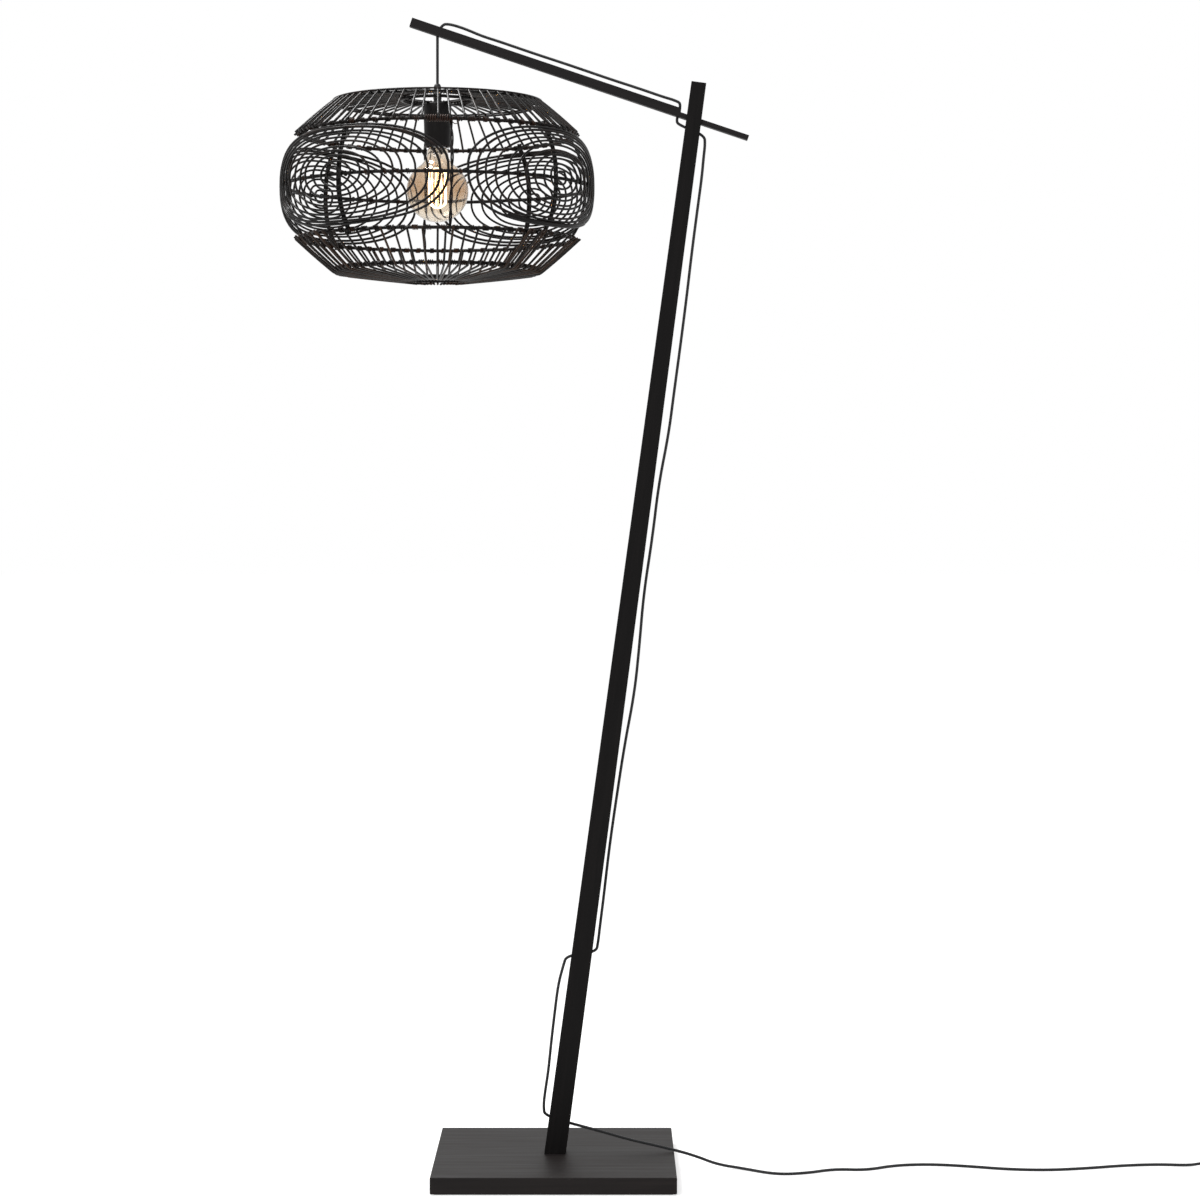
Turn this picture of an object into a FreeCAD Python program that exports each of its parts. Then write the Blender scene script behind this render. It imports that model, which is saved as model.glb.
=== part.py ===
import FreeCAD, Part
import math
import os
import re

import Sketcher
from FreeCAD import Placement, Rotation, Vector

# Floor lamp: a leaning tapered pole on a square base, a slim arm through the pole, and a round
# open cage of dark rods that hangs from the arm on its own cord around a globe bulb.
# Millimetres. +Z up, +X to the side the pole leans to, origin on the floor under the pole's foot.

doc = FreeCAD.newDocument("FloorLamp")

# ---------------------------------------------------------------- driving dimensions
SIZES = [
    # base
    ("BaseSide", 364.0, "square base plate, side"),
    ("BaseThick", 24.5, "base plate, thickness"),
    ("BaseEdge", 1.2, "base plate, edge chamfer"),
    ("FeltThick", 1.5, "felt under the base, thickness"),
    ("FeltInset", 6.0, "felt, distance in from the plate's edge"),
    # bolt that holds the pole from below
    ("BoltRadius", 4.0, "pole bolt, shank radius"),
    ("BoltLength", 48.0, "pole bolt, shank length"),
    ("BoltHeadAcross", 6.5, "pole bolt, hexagon head, half the width across flats"),
    ("BoltHeadHigh", 5.3, "pole bolt, head height"),
    ("WasherRadius", 11.0, "washer, outer radius"),
    ("WasherThick", 1.6, "washer, thickness"),
    ("SinkGap", 1.5, "counterbore, room round the washer and under the head"),
    ("SleeveWall", 2.0, "threaded sleeve in the pole's foot, wall"),
    ("SleeveLength", 30.0, "threaded sleeve, length"),
    # pole
    ("PoleLean", 7.65, "pole, lean from upright in degrees"),
    ("PoleLength", 1649.3, "pole, length along its axis"),
    ("PoleFoot", 32.6, "pole, side of its square foot"),
    ("PoleTop", 22.6, "pole, side of its square top"),
    # arm
    ("ArmSlope", 18.6, "arm, slope below level in degrees"),
    ("ArmLength", 545.0, "arm, whole length"),
    ("ArmHigh", 14.0, "arm, height of its thick part"),
    ("ArmWide", 14.0, "arm, width"),
    ("TailHigh", 7.8, "arm, height of the tenon and tail"),
    ("ArmBelowTop", 60.9, "arm, its underside below the pole's top, along the pole's axis"),
    ("ArmInPole", 458.1, "arm, distance from its high end to the pole's axis"),
    ("HighHole", 45.0, "arm, cord hole nearest the high end, distance from that end"),
    ("LowHole", 432.5, "arm, cord hole beside the pole, distance from the high end"),
    ("HoleRadius", 2.8, "cord holes in the wood, radius"),
    # cord
    ("CordRadius", 2.2, "round textile cord, radius"),
    ("DropLength", 73.0, "cord between the arm and the cord grip"),
    # cord grip, carrier and lampholder
    ("GripRadius", 5.9, "cord grip, radius of its stem"),
    ("GripLength", 28.0, "cord grip, length"),
    ("GripCone", 5.0, "cord grip, height of its rounded top"),
    ("NippleRadius", 5.0, "threaded nipple, outer radius"),
    ("NippleWall", 1.2, "threaded nipple, wall"),
    ("NippleLength", 22.0, "threaded nipple, length"),
    ("NutThick", 4.0, "lock nut, thickness"),
    ("NutRadius", 8.0, "lock nut, corner radius"),
    ("CarrierThick", 1.5, "cage carrier, sheet thickness"),
    ("CarrierDisc", 14.0, "cage carrier, radius of its disc"),
    ("CarrierArm", 7.0, "cage carrier, width of its arms"),
    ("CapRadius", 21.0, "lampholder cap, outer radius"),
    ("CapHigh", 23.0, "lampholder cap, height"),
    ("HolderWall", 2.0, "lampholder, wall"),
    ("SkirtRadius", 19.6, "lampholder skirt, radius at its mouth"),
    ("SkirtHigh", 44.0, "lampholder skirt, height"),
    ("CoreHigh", 12.0, "lampholder core, height"),
    ("ShellWall", 0.6, "screw shell, wall"),
    ("ShellLength", 22.0, "screw shell, length"),
    ("ShellInset", 2.0, "screw shell, its edge above the skirt's"),
    ("Spigot", 5.0, "lampholder skirt, how far it reaches into the cap"),
    ("ContactThick", 0.8, "lampholder, centre contact's thickness"),
    ("LeadRadius", 1.1, "lampholder, radius of each lead"),
    ("LeadApart", 3.0, "lampholder, distance between the leads"),
    # bulb
    ("GlobeRadius", 47.5, "bulb, globe radius"),
    ("GlassWall", 1.2, "bulb, glass wall"),
    ("NeckRadius", 16.6, "bulb, neck radius where it enters the holder"),
    ("BulbLength", 138.0, "bulb, whole length"),
    ("BulbCapRadius", 13.2, "bulb, screw cap radius"),
    ("BulbCapLength", 22.0, "bulb, screw cap length"),
    ("BulbTipRadius", 4.5, "bulb, contact tip radius"),
    ("BulbTipHigh", 2.4, "bulb, contact tip height"),
    ("StemRadius", 2.2, "bulb, radius of the glass stem"),
    ("StemFlare", 36.0, "bulb, height of the stem's flare above the filaments"),
    ("FilamentHigh", 56.0, "bulb, filament length"),
    ("FilamentRing", 9.0, "bulb, radius that the filaments stand on"),
    ("FilamentRadius", 0.7, "bulb, filament radius"),
    # cage: centre lines of its rods
    ("RodRadius", 2.0, "cage, radius of ribs, loops and uprights"),
    ("HoopRadius", 2.6, "cage, radius of the hoops' rods"),
    ("WaistRadius", 238.6, "cage, radius of the loops at the waist"),
    ("WaistDrop", 128.5, "cage, waist below the lampholder's top"),
    ("ShoulderRadius", 216.5, "cage, radius of the ribs' outer ends"),
    ("ShoulderRise", 80.0, "cage, shoulders above and below the waist"),
    ("RimRadius", 157.5, "cage, radius where the ribs bend"),
    ("RimRise", 131.0, "cage, rims above and below the waist"),
    ("RingRadius", 55.0, "cage, radius of the rings at top and bottom"),
    ("RingDrop", 144.0, "cage, bottom ring below the waist"),
    ("RibLip", 5.0, "cage, how far the ribs run past the hoops"),
    ("EyeTurn", -36.5, "cage, direction of the first eye in degrees from the front"),
    ("EyeWide", 42.0, "cage, half the width of an eye's outer loop in degrees"),
    ("EyeHigh", 71.0, "cage, half the height of an eye's outer loop"),
    # foot switch in the cord
    ("SwitchLong", 76.0, "foot switch, length"),
    ("SwitchWide", 36.0, "foot switch, width"),
    ("SwitchHigh", 21.0, "foot switch, height"),
    ("SwitchWall", 2.0, "foot switch, wall"),
    ("ButtonRadius", 11.5, "foot switch, button radius"),
    ("ButtonProud", 4.5, "foot switch, button above the cover"),
    ("ButtonTravel", 2.5, "foot switch, button travel"),
    ("SwitchCorner", 11.25, "foot switch, chamfer of its upright corners"),
    ("SwitchSlope", 3.5, "foot switch, chamfer round the cover's top"),
    ("SwitchSplit", 9.45, "foot switch, height of the joint between base and cover"),
    ("SwitchAway", 1065.0, "foot switch, distance from the pole's foot"),
    ("ReliefLength", 20.0, "strain reliefs, length"),
    ("ReliefRadius", 6.0, "strain reliefs, radius at the housing"),
    # plug
    ("PlugLong", 34.0, "plug, body length"),
    ("PlugWide", 30.0, "plug, body width"),
    ("PlugThick", 13.6, "plug, body thickness"),
    ("PlugTaper", 8.82, "plug, chamfer towards its cord"),
    ("PinRadius", 2.0, "plug, pin radius"),
    ("PinLength", 19.0, "plug, pin length"),
    ("PinSpacing", 18.6, "plug, distance between pins"),
    # running gaps
    ("Fit", 0.1, "gap between pieces that are pushed together"),
    ("Clear", 0.3, "gap between pieces that move, and between rods that are tied"),
]
# Counts. Round pieces have as few flats as their size allows.
RIBS = 48  # ribs in each cover
HOOP_RUNS = 36  # straight runs in a large hoop
RING_RUNS = 14  # and in a small one
LOOPS = 6  # nested loops in each eye
LOOP_RUNS = 16
EYES = 4
HOOP_FLATS = 6
ROD_FLATS = 4
CORD_FLATS = 4
GLASS_FLATS = 18
HOLDER_FLATS = 24
SMALL_FLATS = 12
HOLE_FLATS = 8
BUTTON_FLATS = 16

sheet = doc.addObject("Spreadsheet::Sheet", "Sizes")
for row, (alias, number, note) in enumerate(SIZES, start=1):
    sheet.set(f"A{row}", note)
    sheet.set(f"B{row}", str(number))
    sheet.setAlias(f"B{row}", alias)
doc.recompute()
ALIASES = {alias for alias, _, _ in SIZES}


def mm(alias):
    return float(getattr(sheet, alias))


def bound(text):
    """The expression with each size named by its cell."""
    return re.sub(r"[A-Za-z]\w*", lambda m: f"Sizes.{m[0]}" if m[0] in ALIASES else m[0], text)


def bind(thing, **properties):
    for name, text in properties.items():
        thing.setExpression(name, bound(text))


def move(thing, x, y, z):
    """Bind a piece's place to expressions."""
    for name, text in (("x", x), ("y", y), ("z", z)):
        thing.setExpression(f"Placement.Base.{name}", bound(text))


nodes = []  # the objects that are written out


def node(thing, label):
    thing.Label = label
    nodes.append(thing)
    return thing


def primitive(kind, name, **properties):
    thing = doc.addObject(f"Part::{kind}", name)
    bind(thing, **properties)
    return thing


def boolean(kind, name, first, second):
    thing = doc.addObject(f"Part::{kind}", name)
    thing.Base = first
    thing.Tool = second
    return thing


def fixed_shape(label, shape):
    """A piece whose shape is worked out by this file's own functions."""
    thing = doc.addObject("Part::Feature", label)
    thing.Shape = shape
    return node(thing, label)


# ---------------------------------------------------------------- frames of reference
SLOPE = math.radians(mm("ArmSlope"))
BASE_TOP = mm("FeltThick") + mm("BaseThick")
ALONG = Vector(math.cos(SLOPE), 0, -math.sin(SLOPE))  # down the arm
ACROSS = Vector(math.sin(SLOPE), 0, math.cos(SLOPE))  # square to the arm, upwards
pole_frame = Placement(Vector(0, 0, BASE_TOP), Rotation(Vector(0, 1, 0), mm("PoleLean")))
CROSSING = pole_frame.multVec(Vector(0, 0, mm("PoleLength") - mm("ArmBelowTop")))
ARM_END = CROSSING - ALONG * mm("ArmInPole")  # underside of the arm at its high end


def on_arm(distance, height=0.0):
    """A point in the arm's middle plane, from its high end and above its underside."""
    return ARM_END + ALONG * distance + ACROSS * height


def by_pole(share, out, aside=0.0):
    """A point beside the pole, from a share of its length and its distances from the axis."""
    return pole_frame.multVec(Vector(out, aside, share * mm("PoleLength")))


def by_arm(distance, height, aside):
    return on_arm(distance, height) + Vector(0, aside, 0)


MOUTH = on_arm(mm("HighHole"))  # the cord leaves the arm here
FLEX_DROP = 0.6  # it bends this far below the arm's underside
FLEX = MOUTH - Vector(0, 0, FLEX_DROP)
GRIP_TOP = MOUTH.z - mm("DropLength")
HOLDER_TOP = GRIP_TOP - mm("GripLength") - mm("CarrierThick")
WAIST = HOLDER_TOP - mm("WaistDrop")
HANG = Vector(MOUTH.x, 0, HOLDER_TOP)  # lampholder's top, on the pendant's axis
arm_frame = Placement(ARM_END, Rotation(Vector(0, 1, 0), mm("ArmSlope")))


# ---------------------------------------------------------------- round pieces
def round_bar(name, radius, height, flats=SMALL_FLATS):
    """A bar with flats, its corners at the stated radius."""
    bar = primitive("Prism", name, Circumradius=radius, Height=height)
    bar.Polygon = int(flats)
    return bar


def sleeve(label, radius, bore, height, place, flats=SMALL_FLATS):
    """A sleeve or washer, its bore's flats at the stated radius."""
    outside = round_bar(label + "_outside", radius, height, flats)
    inside = round_bar(label + "_inside", f"({bore}) / cos(180 / {flats})", height, flats)
    piece = boolean("Cut", label, outside, inside)
    piece.Placement = place
    return node(piece, label)


def faceted(outline, flats):
    """A solid of flats round the Z axis from its outline, a closed list of (radius, height).

    An outline that starts and ends on the axis makes a piece with no bore."""
    turns = [2 * math.pi * (k + 0.5) / flats for k in range(flats)]
    rings = [[Vector(r * math.cos(a), r * math.sin(a), z) for a in turns] for r, z in outline if r > 0]
    pairs = list(zip(rings, rings[1:]))
    faces = []
    if outline[0][0] > 0:
        pairs.append((rings[-1], rings[0]))
    else:
        faces += [Part.Face(Part.makePolygon(ring + [ring[0]])) for ring in (rings[0], rings[-1])]
    for low, high in pairs:
        for k in range(flats):
            far = (k + 1) % flats
            faces.append(Part.Face(Part.makePolygon([low[k], low[far], high[far], high[k], low[k]])))
    return closed_solid(faces)


def closed_solid(faces):
    shell = Part.makeShell(faces)
    shell.sewShape()
    solid = Part.Solid(shell.Shells[0])
    if solid.Volume < 0:
        solid.reverse()
    return solid


def turned(label, outer, bore, place, flats=SMALL_FLATS):
    """A turned piece with flats: its outside from the low end up, and its bore from the top down."""
    opened = 1 / math.cos(math.pi / flats)  # puts a bore's flats, not its corners, at its radius
    outline = list(outer) + [(r * opened, z) for r, z in bore]
    if not bore:
        outline = [(0, outer[0][1])] + outline + [(0, outer[-1][1])]
    piece = fixed_shape(label, faceted(outline, flats))
    piece.Placement = place
    return piece


# ---------------------------------------------------------------- base
def square_sketch(body, name, side):
    """A square about the body's origin, on its level plane."""
    sketch = body.newObject("Sketcher::SketchObject", name)
    plane = [f for f in body.Origin.OriginFeatures if f.Role == "XY_Plane"][0]
    sketch.AttachmentSupport = (plane, "")
    sketch.MapMode = "FlatFace"
    half = mm(side) / 2
    corners = [Vector(x * half, y * half, 0) for x, y in ((-1, -1), (1, -1), (1, 1), (-1, 1))]
    for i in range(4):
        sketch.addGeometry(Part.LineSegment(corners[i], corners[(i + 1) % 4]), False)
    for i in range(4):
        sketch.addConstraint(Sketcher.Constraint("Coincident", i, 2, (i + 1) % 4, 1))
        sketch.addConstraint(Sketcher.Constraint("Horizontal" if i % 2 == 0 else "Vertical", i))
    sketch.addConstraint(Sketcher.Constraint("Symmetric", 0, 1, 1, 2, -1, 1))
    width = sketch.addConstraint(Sketcher.Constraint("DistanceX", 0, 1, 0, 2, 2 * half))
    height = sketch.addConstraint(Sketcher.Constraint("DistanceY", 1, 1, 1, 2, 2 * half))
    sketch.setExpression(f"Constraints[{width}]", bound(side))
    sketch.setExpression(f"Constraints[{height}]", bound(side))
    return sketch


def level_faces(feature):
    """The names of a feature's top and bottom faces."""
    names = []
    for number, face in enumerate(feature.Shape.Faces, start=1):
        if abs(face.normalAt(0, 0).z) > 0.99:
            names.append(f"Face{number}")
    return names


def make_base():
    felt = primitive(
        "Box",
        "base_felt",
        Length="BaseSide - 2 * FeltInset",
        Width="BaseSide - 2 * FeltInset",
        Height="FeltThick",
    )
    move(felt, "FeltInset - BaseSide / 2", "FeltInset - BaseSide / 2", "0 mm")
    node(felt, "base_felt")

    body = doc.addObject("PartDesign::Body", "base_plate")
    outline = square_sketch(body, "base_outline", "BaseSide")
    block = body.newObject("PartDesign::Pad", "base_block")
    block.Profile = outline
    bind(block, Length="BaseThick")
    doc.recompute()
    edges = body.newObject("PartDesign::Chamfer", "base_edges")
    edges.Base = (block, level_faces(block))
    bind(edges, Size="BaseEdge")
    doc.recompute()
    for name, radius, height in (
        ("base_bolt_hole", "BoltRadius + Clear", "BaseThick"),
        ("base_counterbore", "WasherRadius + SinkGap", "SinkGap + BoltHeadHigh + WasherThick"),
    ):
        hole = body.newObject("PartDesign::SubtractivePrism", name)
        hole.Polygon = int(SMALL_FLATS)
        bind(hole, Circumradius=f"({radius}) / cos(180 / {SMALL_FLATS})", Height=height)
    move(body, "0 mm", "0 mm", "FeltThick")
    node(body, "base_plate")

    # hexagon bolt, its washer and the sleeve that it screws into
    head = round_bar("bolt_head", "BoltHeadAcross / cos(30)", "BoltHeadHigh", 6)
    move(head, "0 mm", "0 mm", "FeltThick + SinkGap")
    shank = round_bar("bolt_shank", "BoltRadius", "BoltLength")
    move(shank, "0 mm", "0 mm", "FeltThick + SinkGap + BoltHeadHigh")
    node(boolean("Fuse", "base_bolt", head, shank), "base_bolt")
    above_head = mm("FeltThick") + mm("SinkGap") + mm("BoltHeadHigh")
    washer_place = Placement(Vector(0, 0, above_head), Rotation())
    sleeve("base_washer", "WasherRadius", "BoltRadius + Clear", "WasherThick", washer_place)
    sleeve(
        "pole_sleeve",
        "BoltRadius + Fit + SleeveWall",
        "BoltRadius + Fit",
        "SleeveLength",
        Placement(Vector(0, 0, BASE_TOP), Rotation()),
    )


# ---------------------------------------------------------------- pole
# Cord holes through the pole: where the cord's line enters and leaves, as for by_pole.
POLE_HOLES = [
    ("upper", (0.9588, -20.7), (0.9526, 19.2)),
    ("middle", (0.1885, 21.4), (0.1819, -22.8)),
    ("lower", (0.0312, -23.1), (0.0281, 17.4)),
]
FOOT_ALLOWANCE = 12.0  # the taper starts this far below the foot and is cut level


def hole_cutter(name, start, end):
    """A cutter for a cord hole between two points, a little longer than they are apart."""
    run = end - start
    cutter = round_bar(name, "HoleRadius", "HoleRadius", HOLE_FLATS)
    cutter.setExpression("Height", None)
    cutter.Height = run.Length + 20
    cutter.Placement = Placement(start - run.normalize() * 10, Rotation(Vector(0, 0, 1), end - start))
    return cutter


def make_pole():
    taper = primitive("Wedge", "pole_taper")
    growth = f"(PoleFoot - PoleTop) * {FOOT_ALLOWANCE} / PoleLength"
    for name, text in (
        ("Xmin", f"0 - (PoleFoot + {growth}) / 2"),
        ("Xmax", f"(PoleFoot + {growth}) / 2"),
        ("Zmin", f"0 - (PoleFoot + {growth}) / 2"),
        ("Zmax", f"(PoleFoot + {growth}) / 2"),
        ("X2min", "0 - PoleTop / 2"),
        ("X2max", "PoleTop / 2"),
        ("Z2min", "0 - PoleTop / 2"),
        ("Z2max", "PoleTop / 2"),
        ("Ymin", f"0 - {FOOT_ALLOWANCE}"),
        ("Ymax", "PoleLength"),
    ):
        taper.setExpression(name, bound(text))
    upright = Placement(Vector(), Rotation(Vector(1, 0, 0), 90))
    taper.Placement = pole_frame.multiply(upright)

    level = primitive("Box", "pole_level_cut", Length="4 * PoleFoot", Width="4 * PoleFoot")
    level.Height = 4 * FOOT_ALLOWANCE
    move(level, "0 - 2 * PoleFoot", "0 - 2 * PoleFoot", f"FeltThick + BaseThick - {4 * FOOT_ALLOWANCE}")
    pole = boolean("Cut", "pole_level", taper, level)

    wide = f"(BoltRadius + 2 * Fit + SleeveWall) / cos(180 / {SMALL_FLATS})"
    bore = round_bar("pole_bore", wide, "BoltLength + BoltHeadHigh + 3 * SinkGap - BaseThick")
    move(bore, "0 mm", "0 mm", "FeltThick + BaseThick - SinkGap")
    pole = boolean("Cut", "pole_bored", pole, bore)

    mortise = primitive(
        "Box",
        "pole_mortise",
        Length="4 * PoleTop",
        Width="ArmWide + 2 * Fit",
        Height="TailHigh + 2 * Fit",
    )
    mortise.Placement = Placement(
        on_arm(mm("ArmInPole") - 2 * mm("PoleTop"), -mm("Fit")) - Vector(0, mm("ArmWide") / 2 + mm("Fit"), 0),
        arm_frame.Rotation,
    )
    pole = boolean("Cut", "pole_mortised", pole, mortise)
    for name, start, end in POLE_HOLES:
        cutter = hole_cutter(f"pole_{name}_hole", by_pole(*start), by_pole(*end))
        pole = boolean("Cut", f"pole_with_{name}_hole", pole, cutter)
    node(pole, "pole")


# ---------------------------------------------------------------- arm
def make_arm():
    beam = primitive("Box", "arm_beam", Width="ArmWide", Height="ArmHigh")
    bind(beam, Length="ArmInPole")
    beam.Placement = Placement(on_arm(0) - Vector(0, mm("ArmWide") / 2, 0), arm_frame.Rotation)

    # the shoulder is cut along the pole's near face, which its tenon passes through
    taper = math.degrees(math.atan2((mm("PoleFoot") - mm("PoleTop")) / 2, mm("PoleLength")))
    foot_face = pole_frame.multVec(Vector(-mm("PoleFoot") / 2, 0, 0))
    beyond = primitive("Box", "arm_shoulder_cut", Length="3 * PoleFoot", Width="3 * ArmWide")
    bind(beyond, Height="PoleLength")
    face = Placement(foot_face, Rotation(Vector(0, 1, 0), mm("PoleLean") - taper))
    beyond.Placement = face.multiply(Placement(Vector(-mm("Fit"), -1.5 * mm("ArmWide"), 0), Rotation()))
    beam = boolean("Cut", "arm_shouldered", beam, beyond)

    tail = primitive("Box", "arm_tail", Length="ArmLength", Width="ArmWide", Height="TailHigh")
    tail.Placement = Placement(on_arm(0) - Vector(0, mm("ArmWide") / 2, 0), arm_frame.Rotation)
    arm = boolean("Fuse", "arm_stepped", beam, tail)
    for name, alias in (("high", "HighHole"), ("low", "LowHole")):
        cutter = round_bar(f"arm_{name}_hole", "HoleRadius", "ArmHigh * 2", HOLE_FLATS)
        cutter.Placement = Placement(on_arm(mm(alias), -mm("ArmHigh") / 2), arm_frame.Rotation)
        arm = boolean("Cut", f"arm_with_{name}_hole", arm, cutter)
    node(arm, "arm")


# ---------------------------------------------------------------- faceted rods
def mitred_rod(points, radius, sides, facing, closed=False):
    """A rod of a regular section along straight runs, mitred where they meet.

    facing is a direction that the section's first corner points to."""
    count = len(points)
    runs = [(points[(i + 1) % count] - points[i]).normalize() for i in range(count if closed else count - 1)]
    mitres = []
    for i in range(count):
        before = runs[i - 1] if closed or i > 0 else runs[0]
        after = runs[i] if i < len(runs) else runs[-1]
        mitres.append((before + after).normalize())
    side = (facing - runs[0] * facing.dot(runs[0])).normalize()
    other = runs[0].cross(side)
    ring = []
    for k in range(sides):
        angle = 2 * math.pi * k / sides
        corner = side * (radius * math.cos(angle)) + other * (radius * math.sin(angle))
        slide = -corner.dot(mitres[0]) / runs[0].dot(mitres[0])
        ring.append(points[0] + corner + runs[0] * slide)
    rings = [ring]
    for i, run in enumerate(runs):
        to = (i + 1) % count
        slid = []
        for corner in rings[-1]:
            slide = (points[to] - corner).dot(mitres[to]) / run.dot(mitres[to])
            slid.append(corner + run * slide)
        rings.append(slid)
    if closed:
        drift = max((a - b).Length for a, b in zip(rings[0], rings[-1]))
        if drift > 1e-5:
            raise ValueError(f"a loop of rods closes with a step of {drift:.6f} mm")
        rings[-1] = rings[0]
    faces = []
    for low, high in zip(rings, rings[1:]):
        for k in range(sides):
            far = (k + 1) % sides
            outline = [low[k], low[far], high[far], high[k], low[k]]
            faces.append(Part.Face(Part.makePolygon(outline)))
    if not closed:
        for end in (rings[0], rings[-1]):
            faces.append(Part.Face(Part.makePolygon(end + [end[0]])))
    return closed_solid(faces)


def turned_about_hang(shape, degrees):
    """A copy turned about the pendant's upright axis; 0 degrees faces the front, -Y."""
    copy = shape.copy()
    copy.rotate(HANG, Vector(0, 0, 1), degrees)
    return copy


def at(radius, height, degrees=0.0):
    """A point of the cage: degrees from the front, growing towards +X."""
    angle = math.radians(degrees)
    return Vector(HANG.x + radius * math.sin(angle), -radius * math.cos(angle), height)


# ---------------------------------------------------------------- cage
ROD = mm("RodRadius")
HOOP = mm("HoopRadius")
TIE = HOOP + ROD + mm("Fit")  # between the centre lines of a rod and the hoop it is tied to
SLANTED = 1.12  # as much further apart where a rod crosses a hoop at a slant
DRUM_CURVE = 2.4  # how late the drum's side turns in towards the shoulders


def inward(start, end, up):
    """The direction from a rib's line to the inside, in the plane of radius and height."""
    run = (end - start).normalize()
    return Vector(run.y, -run.x, 0) * (1 if up else -1)


def cover(up):
    """A cover's rib and hoops in (radius, height): the rib's three points and the hoops' places."""
    sign = 1 if up else -1
    rim = Vector(mm("RimRadius"), WAIST + sign * mm("RimRise"), 0)
    shoulder = Vector(mm("ShoulderRadius"), WAIST + sign * mm("ShoulderRise"), 0)
    if up:  # the top ring lies on the carrier's arms
        ring_level = HOLDER_TOP + mm("CarrierThick") + mm("Clear") + HOOP + TIE
    else:
        ring_level = WAIST - mm("RingDrop")
    ring = Vector(mm("RingRadius"), ring_level, 0)
    flat_in = inward(ring, rim, up)
    cone_in = inward(rim, shoulder, up)
    flat_run = (rim - ring).normalize()
    cone_run = (shoulder - rim).normalize()
    half = math.acos(flat_run.dot(cone_run)) / 2
    ring_hoop = ring + flat_in * TIE
    rim_hoop = rim + (flat_in + cone_in).normalize() * (TIE / math.cos(half))
    shoulder_hoop = shoulder - cone_run * mm("RibLip") + cone_in * TIE
    inner_end = ring - flat_run * mm("RibLip")
    return [inner_end, rim, shoulder], ring_hoop, rim_hoop, shoulder_hoop


def hoop(label, radius, height, runs):
    """A closed hoop of straight runs."""
    step = 360 / runs
    corners = [at(radius, height, step * (i + 0.5)) for i in range(runs)]
    outward = at(1, 0, step) - at(0, 0)
    return fixed_shape(label, mitred_rod(corners, HOOP, HOOP_FLATS, outward, closed=True))


def ribs(label, rib):
    points = [at(p.x, p.y) for p in rib]
    one = mitred_rod(points, ROD, ROD_FLATS, Vector(1, 0, 0))
    copies = [turned_about_hang(one, 360 * i / RIBS) for i in range(RIBS)]
    fixed_shape(label, Part.makeCompound(copies))


def bulge(height):
    """How far out the drum's side is at a height from the waist: 1 at the waist, 0 at a shoulder."""
    return 1 - min(1.0, abs(height) / mm("ShoulderRise")) ** DRUM_CURVE


def loop_radius(height):
    return mm("ShoulderRadius") + (mm("WaistRadius") - mm("ShoulderRadius")) * bulge(height)


def eye(label, direction):
    """Nested oval loops that lie on the drum round one upright."""
    loops = []
    for number in range(1, LOOPS + 1):
        wide = mm("EyeWide") * number / LOOPS
        high = mm("EyeHigh") * math.sin(math.pi / 2 * number / LOOPS) ** 0.85
        points = []
        for i in range(LOOP_RUNS):
            angle = 2 * math.pi * i / LOOP_RUNS
            height = high * math.cos(angle)
            points.append(at(loop_radius(height), WAIST + height, direction + wide * math.sin(angle)))
        loops.append(mitred_rod(points, ROD, ROD_FLATS, Vector(0, 0, 1), closed=True))
    fixed_shape(label, Part.makeCompound(loops))


def uprights(label, first, shoulder_hoop, waist_hoop):
    """Four pairs of rods inside the hoops, from one shoulder to the other."""
    level = shoulder_hoop.y - WAIST
    flat_depth = 1 - math.cos(math.pi / HOOP_RUNS)  # how far a hoop's runs come inside its corners
    at_shoulder = shoulder_hoop.x * (1 - flat_depth) - TIE * SLANTED
    at_waist = waist_hoop * (1 - flat_depth) - TIE
    end = level + mm("RibLip")
    levels = [-end, -level, -level / 2, 0, level / 2, level, end]
    apart = math.degrees((ROD + mm("Fit") / 2) / at_shoulder)
    rods = []
    for i in range(EYES):
        for side in (-1, 1):
            direction = first + 360 / EYES * i + side * apart
            points = []
            for height in levels:
                radius = at_shoulder + (at_waist - at_shoulder) * bulge(height)
                points.append(at(radius, WAIST + height, direction))
            rods.append(mitred_rod(points, ROD, ROD_FLATS, at(1, 0, direction) - at(0, 0, direction)))
    fixed_shape(label, Part.makeCompound(rods))


def make_cage():
    top_rib, top_ring, top_rim, top_shoulder = cover(True)
    low_rib, low_ring, low_rim, low_shoulder = cover(False)
    ribs("upper_ribs", top_rib)
    ribs("lower_ribs", low_rib)
    hoop("top_ring", top_ring.x, top_ring.y, RING_RUNS)
    hoop("top_rim_hoop", top_rim.x, top_rim.y, HOOP_RUNS)
    hoop("upper_shoulder_hoop", top_shoulder.x, top_shoulder.y, HOOP_RUNS)
    waist_hoop = mm("WaistRadius") - TIE
    hoop("waist_hoop", waist_hoop, WAIST, HOOP_RUNS)
    hoop("lower_shoulder_hoop", low_shoulder.x, low_shoulder.y, HOOP_RUNS)
    hoop("bottom_rim_hoop", low_rim.x, low_rim.y, HOOP_RUNS)
    hoop("bottom_ring", low_ring.x, low_ring.y, RING_RUNS)
    names = ("front_left", "front_right", "back_right", "back_left")
    for number, name in enumerate(names):
        eye(f"eye_{name}", mm("EyeTurn") + 360 / EYES * number)
    uprights("eye_posts", mm("EyeTurn"), top_shoulder, waist_hoop)
    uprights("side_bars", mm("EyeTurn") + 180 / EYES, top_shoulder, waist_hoop)
    return top_ring


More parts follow.
